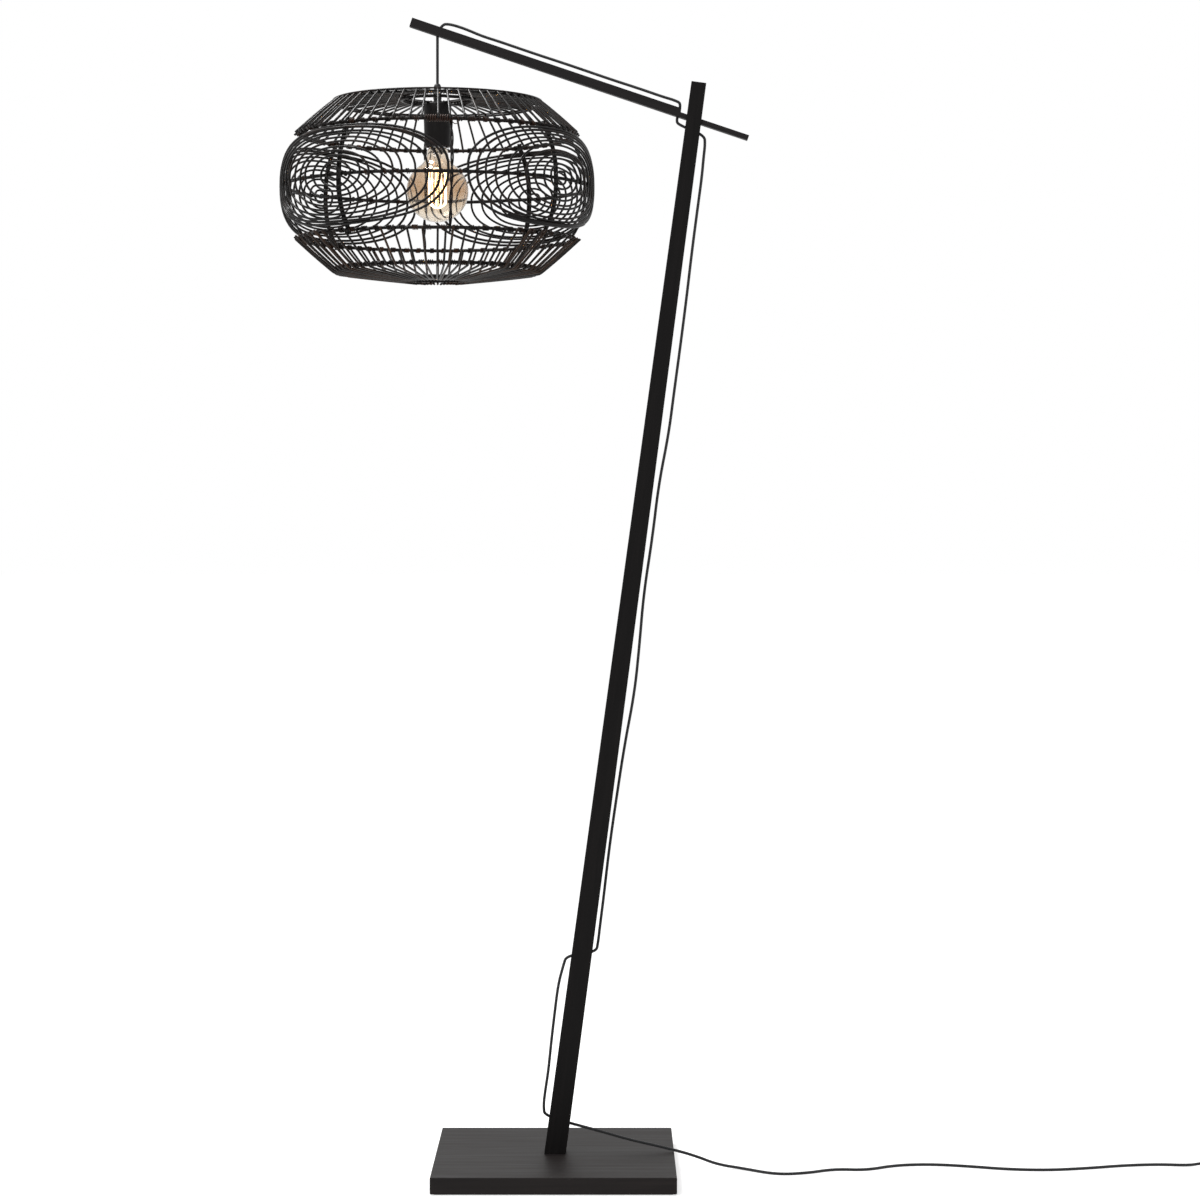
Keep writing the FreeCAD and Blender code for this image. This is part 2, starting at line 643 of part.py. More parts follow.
# ---------------------------------------------------------------- lampholder and what hangs it
def make_carrier(top_ring):
    """A disc on the lampholder with four arms that the cage's top ring lies on."""
    carrier = round_bar("carrier_disc", "CarrierDisc", "CarrierThick")
    reach = top_ring.x + HOOP
    for number in range(2):
        bar = primitive("Box", f"carrier_bar_{number}", Width="CarrierArm", Height="CarrierThick")
        bar.Length = 2 * reach
        turn = Rotation(Vector(0, 0, 1), 45 + 90 * number)
        bar.Placement = Placement(turn.multVec(Vector(-reach, -mm("CarrierArm") / 2, 0)), turn)
        carrier = boolean("Fuse", f"carrier_{number}", carrier, bar)
    wide = f"(NippleRadius + Fit) / cos(180 / {SMALL_FLATS})"
    hole = round_bar("carrier_hole", wide, "CarrierThick * 3")
    hole.Placement = Placement(Vector(0, 0, -mm("CarrierThick")), Rotation())
    carrier = boolean("Cut", "cage_carrier", carrier, hole)
    carrier.Placement = Placement(HANG, Rotation())
    node(carrier, "cage_carrier")


def hang(height):
    """A place on the pendant's axis, from the lampholder's top."""
    return Placement(HANG + Vector(0, 0, height), Rotation())


THIN = 1.2  # least wall of a moulded piece
EASE = 1.0  # small chamfer of a moulded edge


def make_holder():
    length, nip = mm("GripLength"), mm("NippleRadius") + mm("Fit")
    inner = mm("CordRadius") + mm("Clear")
    outer = mm("GripRadius")
    turned(
        "cord_grip",
        [(outer, 0), (outer, length - mm("GripCone")), (inner + THIN, length)],
        [(inner, length), (inner, length / 2), (nip, length / 2), (nip, 0)],
        hang(mm("CarrierThick")),
    )
    nipple_low = mm("CarrierThick") - mm("NippleLength") / 2
    sleeve("nipple", "NippleRadius", "NippleRadius - NippleWall", "NippleLength", hang(nipple_low))
    nut = round_bar("nut_block", "NutRadius", "NutThick", 6)
    nut_hole = round_bar("nut_hole", f"(NippleRadius + Fit) / cos(180 / {SMALL_FLATS})", "NutThick")
    nut = boolean("Cut", "lock_nut", nut, nut_hole)
    nut.Placement = hang(-mm("HolderWall") - mm("NutThick"))
    node(nut, "lock_nut")

    wall, high, cap = mm("HolderWall"), mm("CapHigh"), mm("CapRadius")
    turned(
        "holder_cap",
        [(cap, 0), (cap, high - EASE), (cap - EASE, high)],
        [(nip, high), (nip, high - wall), (cap - wall, high - wall), (cap - wall, 0)],
        hang(-high),
        HOLDER_FLATS,
    )
    skirt, long = mm("SkirtRadius"), mm("SkirtHigh")
    spigot = cap - wall - mm("Fit")
    shoulder, spigot_top = long - mm("Fit"), long + mm("Spigot")
    turned(
        "holder_skirt",
        [(skirt, 0), (cap, shoulder), (spigot, shoulder), (spigot, spigot_top)],
        [(skirt - wall, spigot_top), (skirt - wall, 0)],
        hang(-high - long),
        HOLDER_FLATS,
    )
    core_low = mm("ShellLength") + mm("ShellInset") - high - long
    core = round_bar("holder_core", "SkirtRadius - HolderWall - Fit", "CoreHigh", HOLDER_FLATS)
    core.Placement = hang(core_low)
    node(core, "holder_core")
    shell_bore = "BulbCapRadius + Clear"
    shell_place = hang(core_low - mm("ShellLength"))
    sleeve("screw_shell", f"{shell_bore} + ShellWall", shell_bore, "ShellLength", shell_place, HOLDER_FLATS)

    leaf = primitive("Box", "centre_contact", Length="2 * BulbTipRadius", Width="BulbTipRadius")
    bind(leaf, Height="ContactThick")
    contact_low = core_low - mm("ContactThick")
    leaf_corner = Vector(-mm("BulbTipRadius"), -mm("BulbTipRadius") / 2, contact_low)
    leaf.Placement = Placement(HANG + leaf_corner, Rotation())
    node(leaf, "centre_contact")
    low = HANG + Vector(0, 0, core_low + mm("CoreHigh"))
    high_end = HANG + Vector(0, 0, nipple_low + mm("NippleLength") - EASE)
    leads = []
    for side in (-1, 1):
        aside = Vector(side * mm("LeadApart") / 2, 0, 0)
        ends = [low + aside, high_end + aside]
        leads.append(mitred_rod(ends, mm("LeadRadius"), ROD_FLATS, Vector(1, 0, 0)))
    fixed_shape("lead_wires", Part.makeCompound(leads))
    return HANG.z + contact_low


# ---------------------------------------------------------------- bulb
BOTTOM_ANGLE = 9.0  # half the angle of the flat under the globe, in degrees
OPEN_ANGLE = 58.0  # above the globe's middle, where the neck's curve starts
OUTER_BANDS = 7  # of the glass's curve
INNER_BANDS = 5
NECK_FLARE = 2.4  # the neck is this much wider where it meets the globe,
NECK_FOOT = 1.06  # at this many globe radii above its middle
NECK_STRAIGHT = 7.0  # straight part of the neck
FILAMENTS = 4


def glass_outline(globe, neck, top, bands):
    """A side of the glass's section from its lowest flat to its top, as (radius, height)."""
    start, end = math.radians(BOTTOM_ANGLE - 90), math.radians(OPEN_ANGLE)
    outline = []
    for i in range(bands + 1):
        angle = start + (end - start) * i / bands
        outline.append((globe * math.cos(angle), globe * math.sin(angle)))
    outline.append((neck + NECK_FLARE, globe * NECK_FOOT))
    outline.append((neck, top - NECK_STRAIGHT))
    return outline


def make_bulb(contact):
    """The bulb, whose tip stands just clear of the holder's contact."""
    tip_top = contact - mm("Clear")
    globe, wall = mm("GlobeRadius"), mm("GlassWall")
    centre = Vector(HANG.x, 0, tip_top - mm("BulbLength") + globe)
    cap_top = tip_top - mm("BulbTipHigh") - mm("Clear")
    cap, cap_long, tip = mm("BulbCapRadius"), mm("BulbCapLength"), mm("BulbTipRadius")
    cap_low = cap_top - cap_long
    neck, neck_top = mm("NeckRadius"), cap_low - centre.z - mm("Fit")
    outer = glass_outline(globe, neck, neck_top, OUTER_BANDS)
    inner = glass_outline(globe - wall, neck - wall, neck_top, INNER_BANDS)
    section = outer + [(cap, neck_top), (cap - wall, neck_top)] + inner[::-1]
    glass = faceted([(0, outer[0][1])] + section, GLASS_FLATS)
    glass.translate(centre)
    fixed_shape("bulb_glass", glass)

    inside = cap - mm("ShellWall")
    slope = 3.0  # height of the cap's sloped end
    turned(
        "bulb_cap",
        [(cap, 0), (cap, cap_long - slope), (tip + 2 * EASE, cap_long)],
        [(tip, cap_long), (inside, cap_long - slope - EASE), (inside, 0)],
        Placement(Vector(HANG.x, 0, cap_low), Rotation()),
        HOLDER_FLATS,
    )
    tip_low = Placement(Vector(HANG.x, 0, cap_top + mm("Clear")), Rotation())
    turned("bulb_tip", [(tip, 0), (tip - 1.5 * EASE, mm("BulbTipHigh"))], [], tip_low)
    # glass stem that carries the filaments, standing in the cap
    tall, flare, thin = mm("FilamentHigh"), mm("StemFlare"), mm("StemRadius")
    low = cap_low + slope - tall - flare
    turned(
        "bulb_stem",
        [(thin, 0), (thin, tall), (inside - mm("Fit"), tall + flare)],
        [],
        Placement(Vector(HANG.x, 0, low), Rotation()),
    )
    # each filament's ends lie close to the stem
    wire, ring = mm("FilamentRadius"), mm("FilamentRing")
    close = thin + wire + mm("Clear")
    filaments = []
    for i in range(FILAMENTS):
        angle = math.radians(45 + 360 / FILAMENTS * i)
        out = Vector(math.cos(angle), math.sin(angle), 0)
        axis = Vector(HANG.x, 0, low)
        places = ((close, 3 * wire), (ring, 9 * wire), (ring, tall - 6 * wire), (close, tall))
        points = [axis + out * r + Vector(0, 0, z) for r, z in places]
        filaments.append(mitred_rod(points, wire, ROD_FLATS, Vector(1, 0.2, 0)))
    fixed_shape("bulb_filaments", Part.makeCompound(filaments))


# ---------------------------------------------------------------- cords
ARC_SHARE = 0.45  # of the shorter run, taken by the arc at a point


def cord_path(points, label):
    """Straight runs joined by tangent arcs, each as large as its two runs allow."""
    edges = []
    radii = []
    start = points[0]
    for before, corner, after in zip(points, points[1:], points[2:]):
        into = corner - before
        out = after - corner
        turn = into.getAngle(out)
        reach = ARC_SHARE * min(into.Length, out.Length)
        radii.append(reach / math.tan(turn / 2))
        first = corner - Vector(into).normalize() * reach
        last = corner + Vector(out).normalize() * reach
        to_middle = ((first + last) * 0.5 - corner).normalize()
        depth = radii[-1] / math.cos(turn / 2) - radii[-1]
        edges.append(Part.LineSegment(start, first).toShape())
        edges.append(Part.Arc(first, corner + to_middle * depth, last).toShape())
        start = last
    edges.append(Part.LineSegment(start, points[-1]).toShape())
    if radii:
        print(f"{label}: {len(points)} points, tightest radius {min(radii):.1f} mm,", end=" ")
        print("radii", " ".join(f"{r:.0f}" for r in radii))
    return Part.Wire(edges)


def section_at(point, direction):
    """The cord's faceted section, square to its direction."""
    upright = Vector(0, 0, 1) if abs(direction.z) < 0.9 else Vector(0, 1, 0)
    side = direction.cross(upright).normalize()
    other = side.cross(direction).normalize()
    corners = []
    for k in range(CORD_FLATS):
        angle = 2 * math.pi * k / CORD_FLATS
        corners.append(point + (side * math.cos(angle) + other * math.sin(angle)) * mm("CordRadius"))
    return Part.makePolygon(corners + [corners[0]])


def sweep(label, path, start, direction):
    section = section_at(start, direction)
    tube = path.makePipeShell([section], True, False)
    area = Part.Face(section).Area
    share = tube.Volume / (area * path.Length)
    print(f"{label}: length {path.Length:.1f} mm, volume over section times length {share:.4f}")
    if abs(share - 1) > 0.02:
        raise ValueError(f"{label}: the tube doesn't fill its path")
    return fixed_shape(label, tube)


def cord(label, points):
    points = [Vector(p) for p in points]
    return sweep(label, cord_path(points, label), points[0], (points[1] - points[0]).normalize())


# The cord in the wood: out of the arm's first hole, along the arm and through it, as distances
# from the arm's high end, above its underside and to the back.
ALONG_ARM = [
    (45.1, 19.4, 0),
    (57.6, 23.8, 0),
    (81.2, 24.4, 0.6),
    (109.4, 22, 1),
    (138.7, 22.6, 0.8),
    (191.7, 22.1, 0.2),
    (252.7, 22.6, 0),
    (316.2, 22, -0.3),
    (366.7, 22.6, -0.2),
    (400.6, 22.2, 0),
    (420.9, 23, 0),
    (431.9, 21, 0),
]
# Then through the pole, down beside it, through it twice more and out above the base, as for by_pole.
ALONG_POLE = [
    (0.9623, -26.9, 0),
    (0.9588, -20.7, 0),
    (0.9526, 19.2, 0),
    (0.9445, 22.1, 0.3),
    (0.9317, 22.5, 0.4),
    (0.9135, 23.9, 0),
    (0.8853, 23.7, -0.4),
    (0.8437, 24, -0.2),
    (0.801, 25.3, 0),
    (0.7558, 25.7, 0.4),
    (0.7117, 25.6, 0.6),
    (0.6738, 25.9, 0.2),
    (0.6257, 21, 0),
    (0.5769, 22.3, -0.4),
    (0.5241, 20.5, -0.2),
    (0.4755, 24.6, 0.2),
    (0.4316, 26.9, 0.4),
    (0.3836, 22.4, 0),
    (0.3308, 20.8, -0.2),
    (0.2855, 20.1, 0),
    (0.2403, 21.6, 0.2),
    (0.2135, 21.9, 0),
    (0.1976, 22.4, 0),
    (0.1885, 21.4, 0),
    (0.1819, -22.8, 0),
    (0.1723, -25.6, 0),
    (0.1542, -29.5, 0.3),
    (0.1273, -29.1, 0.4),
    (0.0992, -28.3, 0),
    (0.0737, -26.8, -0.3),
    (0.051, -27.6, 0),
    (0.04, -26.8, 0),
    (0.0312, -23.1, 0),
    (0.0281, 17.4, 0),
]

# The free cord: out of the pole, over the base's edge and along the floor to the foot switch, as
# distances from the pole's foot, to the back, and of the cord's underside above the floor.
SWITCH_AT = Vector(mm("SwitchAway"), 8.0, 0)  # middle of the foot switch on the floor
PLUG_AT = SWITCH_AT + Vector(-19.0, 78.0, 0)  # middle of the plug's pin face on the floor
ENTRY = 7.0  # height of the cord's axis where it enters the switch and the plug
FREE_CORD = [
    (66, 0.4, 56.2),
    (116, 0.2, 41.8),
    (156, -0.6, 33.3),
    (211, -1.6, 19.3),
    (247, -3, 5.2),
    (286, -7, 0),
    (335, -50, 0),
    (383, -40, 0),
    (426, -12, 0),
    (474, -20, 0),
    (520, 14, 0),
    (575, 22, 0),
    (632, 8, 0),
    (690, -14, 0),
    (752, -20, 0),
    (815, -6, 0),
    (874, 14, 0),
    (929, 21, 0),
    (972, 12, 0.4),
]


def biarc(start, start_way, end, end_way):
    """Two tangent arcs between two points with given directions."""
    gap = end - start
    ways = start_way + end_way
    a = 2 * (1 - start_way.dot(end_way))
    b = gap.dot(ways)
    reach = (math.sqrt(b * b + a * gap.dot(gap)) - b) / a
    first = start + start_way * reach
    last = end - end_way * reach
    joint = (first + last) * 0.5
    arcs = []
    for one, corner, two in ((start, first, joint), (joint, last, end)):
        half = (corner - one).getAngle(two - corner) / 2
        length = (corner - one).Length
        radius = length / math.tan(half)
        middle = (one + two) * 0.5
        to_corner = (corner - middle).normalize()
        depth = radius * (1 - math.cos(half))
        arcs.append(Part.Arc(one, middle + to_corner * depth, two).toShape())
    return arcs


# The put-away length: two layers of turns, in on the floor, up at the inside and out again on top.
COIL_TURNS = 2.5
COIL_OUTSIDE = 38.5  # radius of the outer turn
COIL_STEP = 5.2  # between neighbouring turns
COIL_LAYER = 5.0  # between the layers
COIL_DIP = 0.9  # how far the climbing half turn lies further in
COIL_BEYOND = 107.0  # from the middle of the foot switch
COIL_SAMPLES = 700
COIL_CENTRE = SWITCH_AT + Vector(COIL_BEYOND, COIL_OUTSIDE, 0)


def coil_point(turns):
    layer = (COIL_TURNS - 0.5) / 2
    inside = COIL_OUTSIDE - COIL_STEP * layer
    if turns <= layer:
        radius = COIL_OUTSIDE - COIL_STEP * turns
        height = 0.0
    elif turns <= layer + 0.5:
        climb = (turns - layer) / 0.5
        radius = inside - COIL_DIP * math.sin(math.pi * climb) ** 2
        height = COIL_LAYER * (1 - math.cos(math.pi * climb)) / 2
    else:
        radius = inside + COIL_STEP * (turns - layer - 0.5)
        height = COIL_LAYER
    angle = 2 * math.pi * turns - math.pi / 2
    floor = Vector(math.cos(angle) * radius, math.sin(angle) * radius, mm("CordRadius") + height)
    return COIL_CENTRE + floor


def coil_way(turns):
    small = 1e-4
    low = max(0.0, turns - small)
    high = min(COIL_TURNS, turns + small)
    return (coil_point(high) - coil_point(low)).normalize()


def make_coil():
    steps = int(COIL_TURNS * 4)
    places = [COIL_TURNS * i / steps for i in range(steps + 1)]
    arcs = []
    for low, high in zip(places, places[1:]):
        arcs += biarc(coil_point(low), coil_way(low), coil_point(high), coil_way(high))
    path = Part.Wire(arcs)
    start, way = coil_point(0), coil_way(0)
    sweep("cord_coil", path, start, way)
    samples = [coil_point(COIL_TURNS * i / COIL_SAMPLES) for i in range(COIL_SAMPLES + 1)]
    half_turn = int(COIL_SAMPLES / COIL_TURNS / 2)
    least = min((a - b).Length for i, a in enumerate(samples) for b in samples[i + half_turn :])
    print(f"cord_coil: least gap to itself {least - 2 * mm('CordRadius'):.2f} mm")


def make_cords():
    radius = mm("CordRadius")
    start = MOUTH + ACROSS * (radius + mm("Clear") - FLEX_DROP)
    in_wood = [by_arm(*place) for place in ALONG_ARM] + [by_pole(*place) for place in ALONG_POLE]
    cord("threaded_cord", [start] + in_wood)
    # the hanging cord, and the short bend over it that lets it swing
    top = FLEX - Vector(0, 0, radius + mm("Clear"))
    low = Vector(MOUTH.x, 0, GRIP_TOP - mm("GripLength") / 2 + mm("Clear"))
    fixed_shape("drop_cord", mitred_rod([top, low], radius, HOLE_FLATS, Vector(1, 0, 0)))
    turns = [math.radians(a) for a in (-65, -22, 22, 65)]
    bend = [(radius * math.cos(a), radius * math.sin(a)) for a in turns]
    turned("cord_bend", bend, [], Placement(FLEX, Rotation()), HOLE_FLATS)

    half = mm("SwitchLong") / 2
    inlet = SWITCH_AT + Vector(-half - mm("ReliefLength"), 0, ENTRY)
    outlet = SWITCH_AT + Vector(half + mm("ReliefLength"), 0, ENTRY)
    free = [Vector(x, y, above + radius) for x, y, above in FREE_CORD]
    cord("mains_cord", [in_wood[-1]] + free + [inlet + Vector(-17, 0, -0.4), inlet])
    join = coil_point(0)
    way = coil_way(0)
    cord("switch_cord", [outlet, outlet + Vector(12, 0, -0.6), join - way * 14, join])
    make_coil()
    end = coil_point(COIL_TURNS)
    leave = coil_way(COIL_TURNS)
    plug_in = PLUG_AT + Vector(mm("PlugLong") + mm("ReliefLength"), 0, ENTRY)
    before_plug = plug_in + Vector(12, 0, 0.1)
    cord("plug_cord", [end, end + leave * 12, before_plug + Vector(25, 0.4, -0.7), before_plug, plug_in])


# ---------------------------------------------------------------- what is on the cord
def relief(label, place, way):
    """A tapered sleeve round the cord where it enters a housing."""
    length = mm("ReliefLength")
    bore = mm("CordRadius") + mm("Fit")
    turned(
        label,
        [(mm("ReliefRadius"), 0), (bore + THIN + mm("Fit"), length)],
        [(bore, length), (bore, 0)],
        Placement(place, Rotation(Vector(0, 0, 1), way)),
        HOLE_FLATS,
    )


def make_switch():
    half = mm("SwitchLong") / 2
    split = mm("SwitchSplit")
    for label, low, high, kind in (
        ("switch_base", 0.0, split, "base"),
        ("switch_cover", split + mm("Fit"), mm("SwitchHigh"), "cover"),
    ):
        body = doc.addObject("PartDesign::Body", label)
        block = body.newObject("PartDesign::AdditiveBox", label + "_block")
        bind(block, Length="SwitchLong", Width="SwitchWide")
        block.Height = high - low
        doc.recompute()
        corners = body.newObject("PartDesign::Chamfer", label + "_corners")
        corners.Base = (block, ["Edge1", "Edge3", "Edge5", "Edge7"])
        bind(corners, Size="SwitchCorner")
        doc.recompute()
        if kind == "cover":
            top = max(corners.Shape.Faces, key=lambda f: f.CenterOfMass.z)
            number = [i for i, f in enumerate(corners.Shape.Faces, 1) if f.isSame(top)][0]
            slope = body.newObject("PartDesign::Chamfer", label + "_slope")
            slope.Base = (corners, [f"Face{number}"])
            bind(slope, Size="SwitchSlope")
            doc.recompute()
        room = body.newObject("PartDesign::SubtractiveBox", label + "_room")
        bind(room, Length="SwitchLong - 2 * SwitchWall - SwitchCorner", Width="SwitchWide - 2 * SwitchWall")
        room.Height = high - low - mm("SwitchWall")
        inset = mm("SwitchWall") + mm("SwitchCorner") / 2
        level = mm("SwitchWall") if kind == "base" else 0.0
        room.Placement = Placement(Vector(inset, mm("SwitchWall"), level), Rotation())
        if kind == "cover":
            hole = body.newObject("PartDesign::SubtractivePrism", label + "_hole")
            hole.Polygon = int(BUTTON_FLATS)
            bind(hole, Circumradius=f"(ButtonRadius + Clear) / cos(180 / {BUTTON_FLATS})", Height="SwitchHigh")
            hole.Placement = Placement(Vector(half, mm("SwitchWide") / 2, 0), Rotation())
        body.Placement = Placement(SWITCH_AT + Vector(-half, -mm("SwitchWide") / 2, low), Rotation())
        node(body, label)
    flange_top = mm("SwitchHigh") - mm("SwitchWall") - mm("Clear")
    button, flange = mm("ButtonRadius"), 1.5 * EASE
    button_top = flange + mm("SwitchWall") + mm("Clear") + mm("ButtonProud")
    turned(
        "switch_button",
        [
            (button + flange, 0),
            (button + flange, flange),
            (button, flange),
            (button, button_top - EASE),
            (button - flange, button_top),
        ],
        [],
        Placement(SWITCH_AT + Vector(0, 0, flange_top - flange), Rotation()),
        BUTTON_FLATS,
    )
    unit = primitive("Box", "switch_unit", Length="ButtonRadius * 1.6", Width="ButtonRadius * 1.2")
    low = mm("SwitchWall") + mm("Fit")
    unit.Height = flange_top - flange - mm("ButtonTravel") - mm("Clear") - low
    unit.Placement = Placement(SWITCH_AT + Vector(-0.8 * button, -0.6 * button, low), Rotation())
    node(unit, "switch_unit")
    relief("switch_inlet_relief", SWITCH_AT + Vector(-half, 0, ENTRY), Vector(-1, 0, 0))
    relief("switch_outlet_relief", SWITCH_AT + Vector(half, 0, ENTRY), Vector(1, 0, 0))


def make_plug():
    body = doc.addObject("PartDesign::Body", "plug_body")
    block = body.newObject("PartDesign::AdditiveBox", "plug_block")
    bind(block, Length="PlugLong", Width="PlugWide", Height="PlugThick")
    doc.recompute()
    taper = body.newObject("PartDesign::Chamfer", "plug_taper")
    taper.Base = (block, ["Edge5", "Edge7"])
    bind(taper, Size="PlugTaper")
    doc.recompute()
    body.Placement = Placement(PLUG_AT + Vector(0, -mm("PlugWide") / 2, 0), Rotation())
    node(body, "plug_body")
    pins = []
    for side in (-1, 1):
        foot = PLUG_AT + Vector(0, side * mm("PinSpacing") / 2, mm("PlugThick") / 2)
        tip = foot - Vector(mm("PinLength"), 0, 0)
        pins.append(mitred_rod([foot, tip], mm("PinRadius"), HOLE_FLATS, Vector(0, 0, 1)))
    fixed_shape("plug_pins", Part.makeCompound(pins))
    relief("plug_relief", PLUG_AT + Vector(mm("PlugLong"), 0, ENTRY), Vector(1, 0, 0))


# ---------------------------------------------------------------- build, check and write
make_base()
make_pole()
make_arm()
make_carrier(make_cage())
make_bulb(make_holder())
make_cords()
make_switch()
make_plug()
doc.recompute()

for thing in doc.Objects:
    if {"Invalid", "Error"} & set(thing.State):
        raise RuntimeError(f"{thing.Name} failed: {thing.State}")
for thing in nodes:
    if thing.Shape.isNull() or not thing.Shape.isValid() or thing.Shape.Volume <= 0:
        raise RuntimeError(f"{thing.Label} has no sound shape")

os.makedirs("parts", exist_ok=True)
for thing in nodes:
    thing.Shape.exportStep(f"parts/{thing.Label}.step")
print(f"{len(nodes)} nodes")
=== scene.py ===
import bpy
import math
import random
from mathutils import Matrix, Vector


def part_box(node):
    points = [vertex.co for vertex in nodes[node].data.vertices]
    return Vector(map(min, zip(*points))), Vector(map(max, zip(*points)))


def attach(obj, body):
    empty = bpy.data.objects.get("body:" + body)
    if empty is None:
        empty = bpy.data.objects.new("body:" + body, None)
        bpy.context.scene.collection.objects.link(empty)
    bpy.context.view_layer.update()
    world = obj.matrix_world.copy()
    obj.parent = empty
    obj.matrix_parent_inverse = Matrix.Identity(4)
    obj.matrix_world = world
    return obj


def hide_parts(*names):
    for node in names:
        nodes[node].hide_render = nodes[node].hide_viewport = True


# Floor lamp with a round open cage of dark rods. Metres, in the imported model's frame.

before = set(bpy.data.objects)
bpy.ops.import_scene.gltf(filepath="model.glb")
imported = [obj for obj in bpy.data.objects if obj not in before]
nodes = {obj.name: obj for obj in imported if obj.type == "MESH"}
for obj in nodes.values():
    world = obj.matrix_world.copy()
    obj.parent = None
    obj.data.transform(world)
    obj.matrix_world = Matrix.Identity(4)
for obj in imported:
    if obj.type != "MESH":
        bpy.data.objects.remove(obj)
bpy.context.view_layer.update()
random.seed(11)

# -------------------- places, from the model
LOW, HIGH = (Vector(c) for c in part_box("waist_hoop"))
WAIST = (LOW.z + HIGH.z) / 2
AXIS = (LOW.x + HIGH.x) / 2  # X of the pendant's upright axis
HOLDER_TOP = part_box("holder_cap")[1][2]
BASE_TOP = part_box("base_plate")[1][2]
LEAN = math.radians(7.65)  # of the pole
SLOPE = math.radians(18.6)  # of the arm

# -------------------- materials


class Shade:
    """A material with one Principled shader and a few short ways to add nodes."""

    def __init__(self, name, **sockets):
        self.mat = bpy.data.materials.new(name)
        self.mat.use_nodes = True
        self.tree = self.mat.node_tree
        self.bsdf = self.tree.nodes["Principled BSDF"]
        for socket, value in sockets.items():
            self.bsdf.inputs[socket.replace("_", " ")].default_value = value

    def add(self, kind, **settings):
        made = self.tree.nodes.new("ShaderNode" + kind)
        for name, value in settings.items():
            setattr(made, name, value)
        return made

    def link(self, out, socket):
        self.tree.links.new(out, socket)

    def where(self, scale=(1, 1, 1), turn=(0, 0, 0), source="Object"):
        """Coordinates, turned and scaled."""
        if source == "UV":
            out = self.add("UVMap", uv_map="rod").outputs[0]
        else:
            out = self.add("TexCoord").outputs[source]
        mapping = self.add("Mapping")
        mapping.vector_type = "TEXTURE" if any(turn) else "POINT"
        mapping.inputs["Rotation"].default_value = turn
        if mapping.vector_type == "TEXTURE":
            scale = tuple(1 / s for s in scale)
        mapping.inputs["Scale"].default_value = scale
        self.link(out, mapping.inputs["Vector"])
        return mapping.outputs[0]

    def noise(self, vector, scale=5.0, detail=4.0, rough=0.55, distortion=0.0):
        made = self.add("TexNoise")
        made.inputs["Scale"].default_value = scale
        made.inputs["Detail"].default_value = detail
        made.inputs["Roughness"].default_value = rough
        made.inputs["Distortion"].default_value = distortion
        self.link(vector, made.inputs["Vector"])
        return made.outputs["Fac"]

    def ramp(self, factor, stops):
        made = self.add("ValToRGB")
        elements = made.color_ramp.elements
        while len(elements) < len(stops):
            elements.new(0.5)
        for element, (place, colour) in zip(elements, stops):
            element.position = place
            if not isinstance(colour, tuple):
                colour = (colour, colour, colour)
            element.color = (*colour, 1)
        self.link(factor, made.inputs[0])
        return made.outputs[0]

    def math(self, operation, one, two=0.0):
        made = self.add("Math", operation=operation)
        for socket, value in zip(made.inputs, (one, two)):
            if isinstance(value, (int, float)):
                socket.default_value = value
            else:
                self.link(value, socket)
        return made.outputs[0]

    def colour(self, out):
        self.link(out, self.bsdf.inputs["Base Color"])

    def rough(self, out):
        self.link(out, self.bsdf.inputs["Roughness"])

    def bump(self, height, strength=0.3, distance=0.001):
        made = self.add("Bump")
        made.inputs["Strength"].default_value = strength
        made.inputs["Distance"].default_value = distance
        self.link(height, made.inputs["Height"])
        self.link(made.outputs[0], self.bsdf.inputs["Normal"])


def stained_wood(name, turn, tones, gloss, rough=(0.45, 0.62), grain=(6, 120, 120)):
    """Wood under a black-brown stain, its grain along X before the turn."""
    shade = Shade(name, Specular_IOR_Level=gloss)
    along = shade.where(grain, turn)
    streaks = shade.noise(along, 1.0, 6.0, 0.62, 0.4)
    cloud = shade.noise(shade.where((3, 9, 9), turn), 1.0, 3.0)
    mixed = shade.math("ADD", shade.math("MULTIPLY", streaks, 0.72), shade.math("MULTIPLY", cloud, 0.28))
    shade.colour(shade.ramp(mixed, [(0.34, tones[0]), (0.52, tones[1]), (0.70, tones[2])]))
    shade.rough(shade.ramp(mixed, [(0.3, rough[0]), (0.7, rough[1])]))
    shade.bump(streaks, 0.35, 0.0004)
    return shade.mat


POLE_WOOD = stained_wood(
    "pole_wood",
    (0, LEAN - math.pi / 2, 0),
    ((0.0034, 0.0030, 0.0030), (0.0052, 0.0046, 0.0046), (0.0084, 0.0073, 0.0071)),
    0.08,
)
ARM_WOOD = stained_wood(
    "arm_wood",
    (0, SLOPE, 0),
    ((0.0062, 0.0053, 0.0055), (0.0096, 0.0082, 0.0085), (0.0148, 0.0126, 0.0128)),
    0.12,
)
BASE_WOOD = stained_wood(
    "base_wood",
    (0, 0, 0),
    ((0.0070, 0.0056, 0.0054), (0.0112, 0.0091, 0.0087), (0.0176, 0.0142, 0.0134)),
    0.12,
    (0.46, 0.6),
    (5, 95, 95),
)


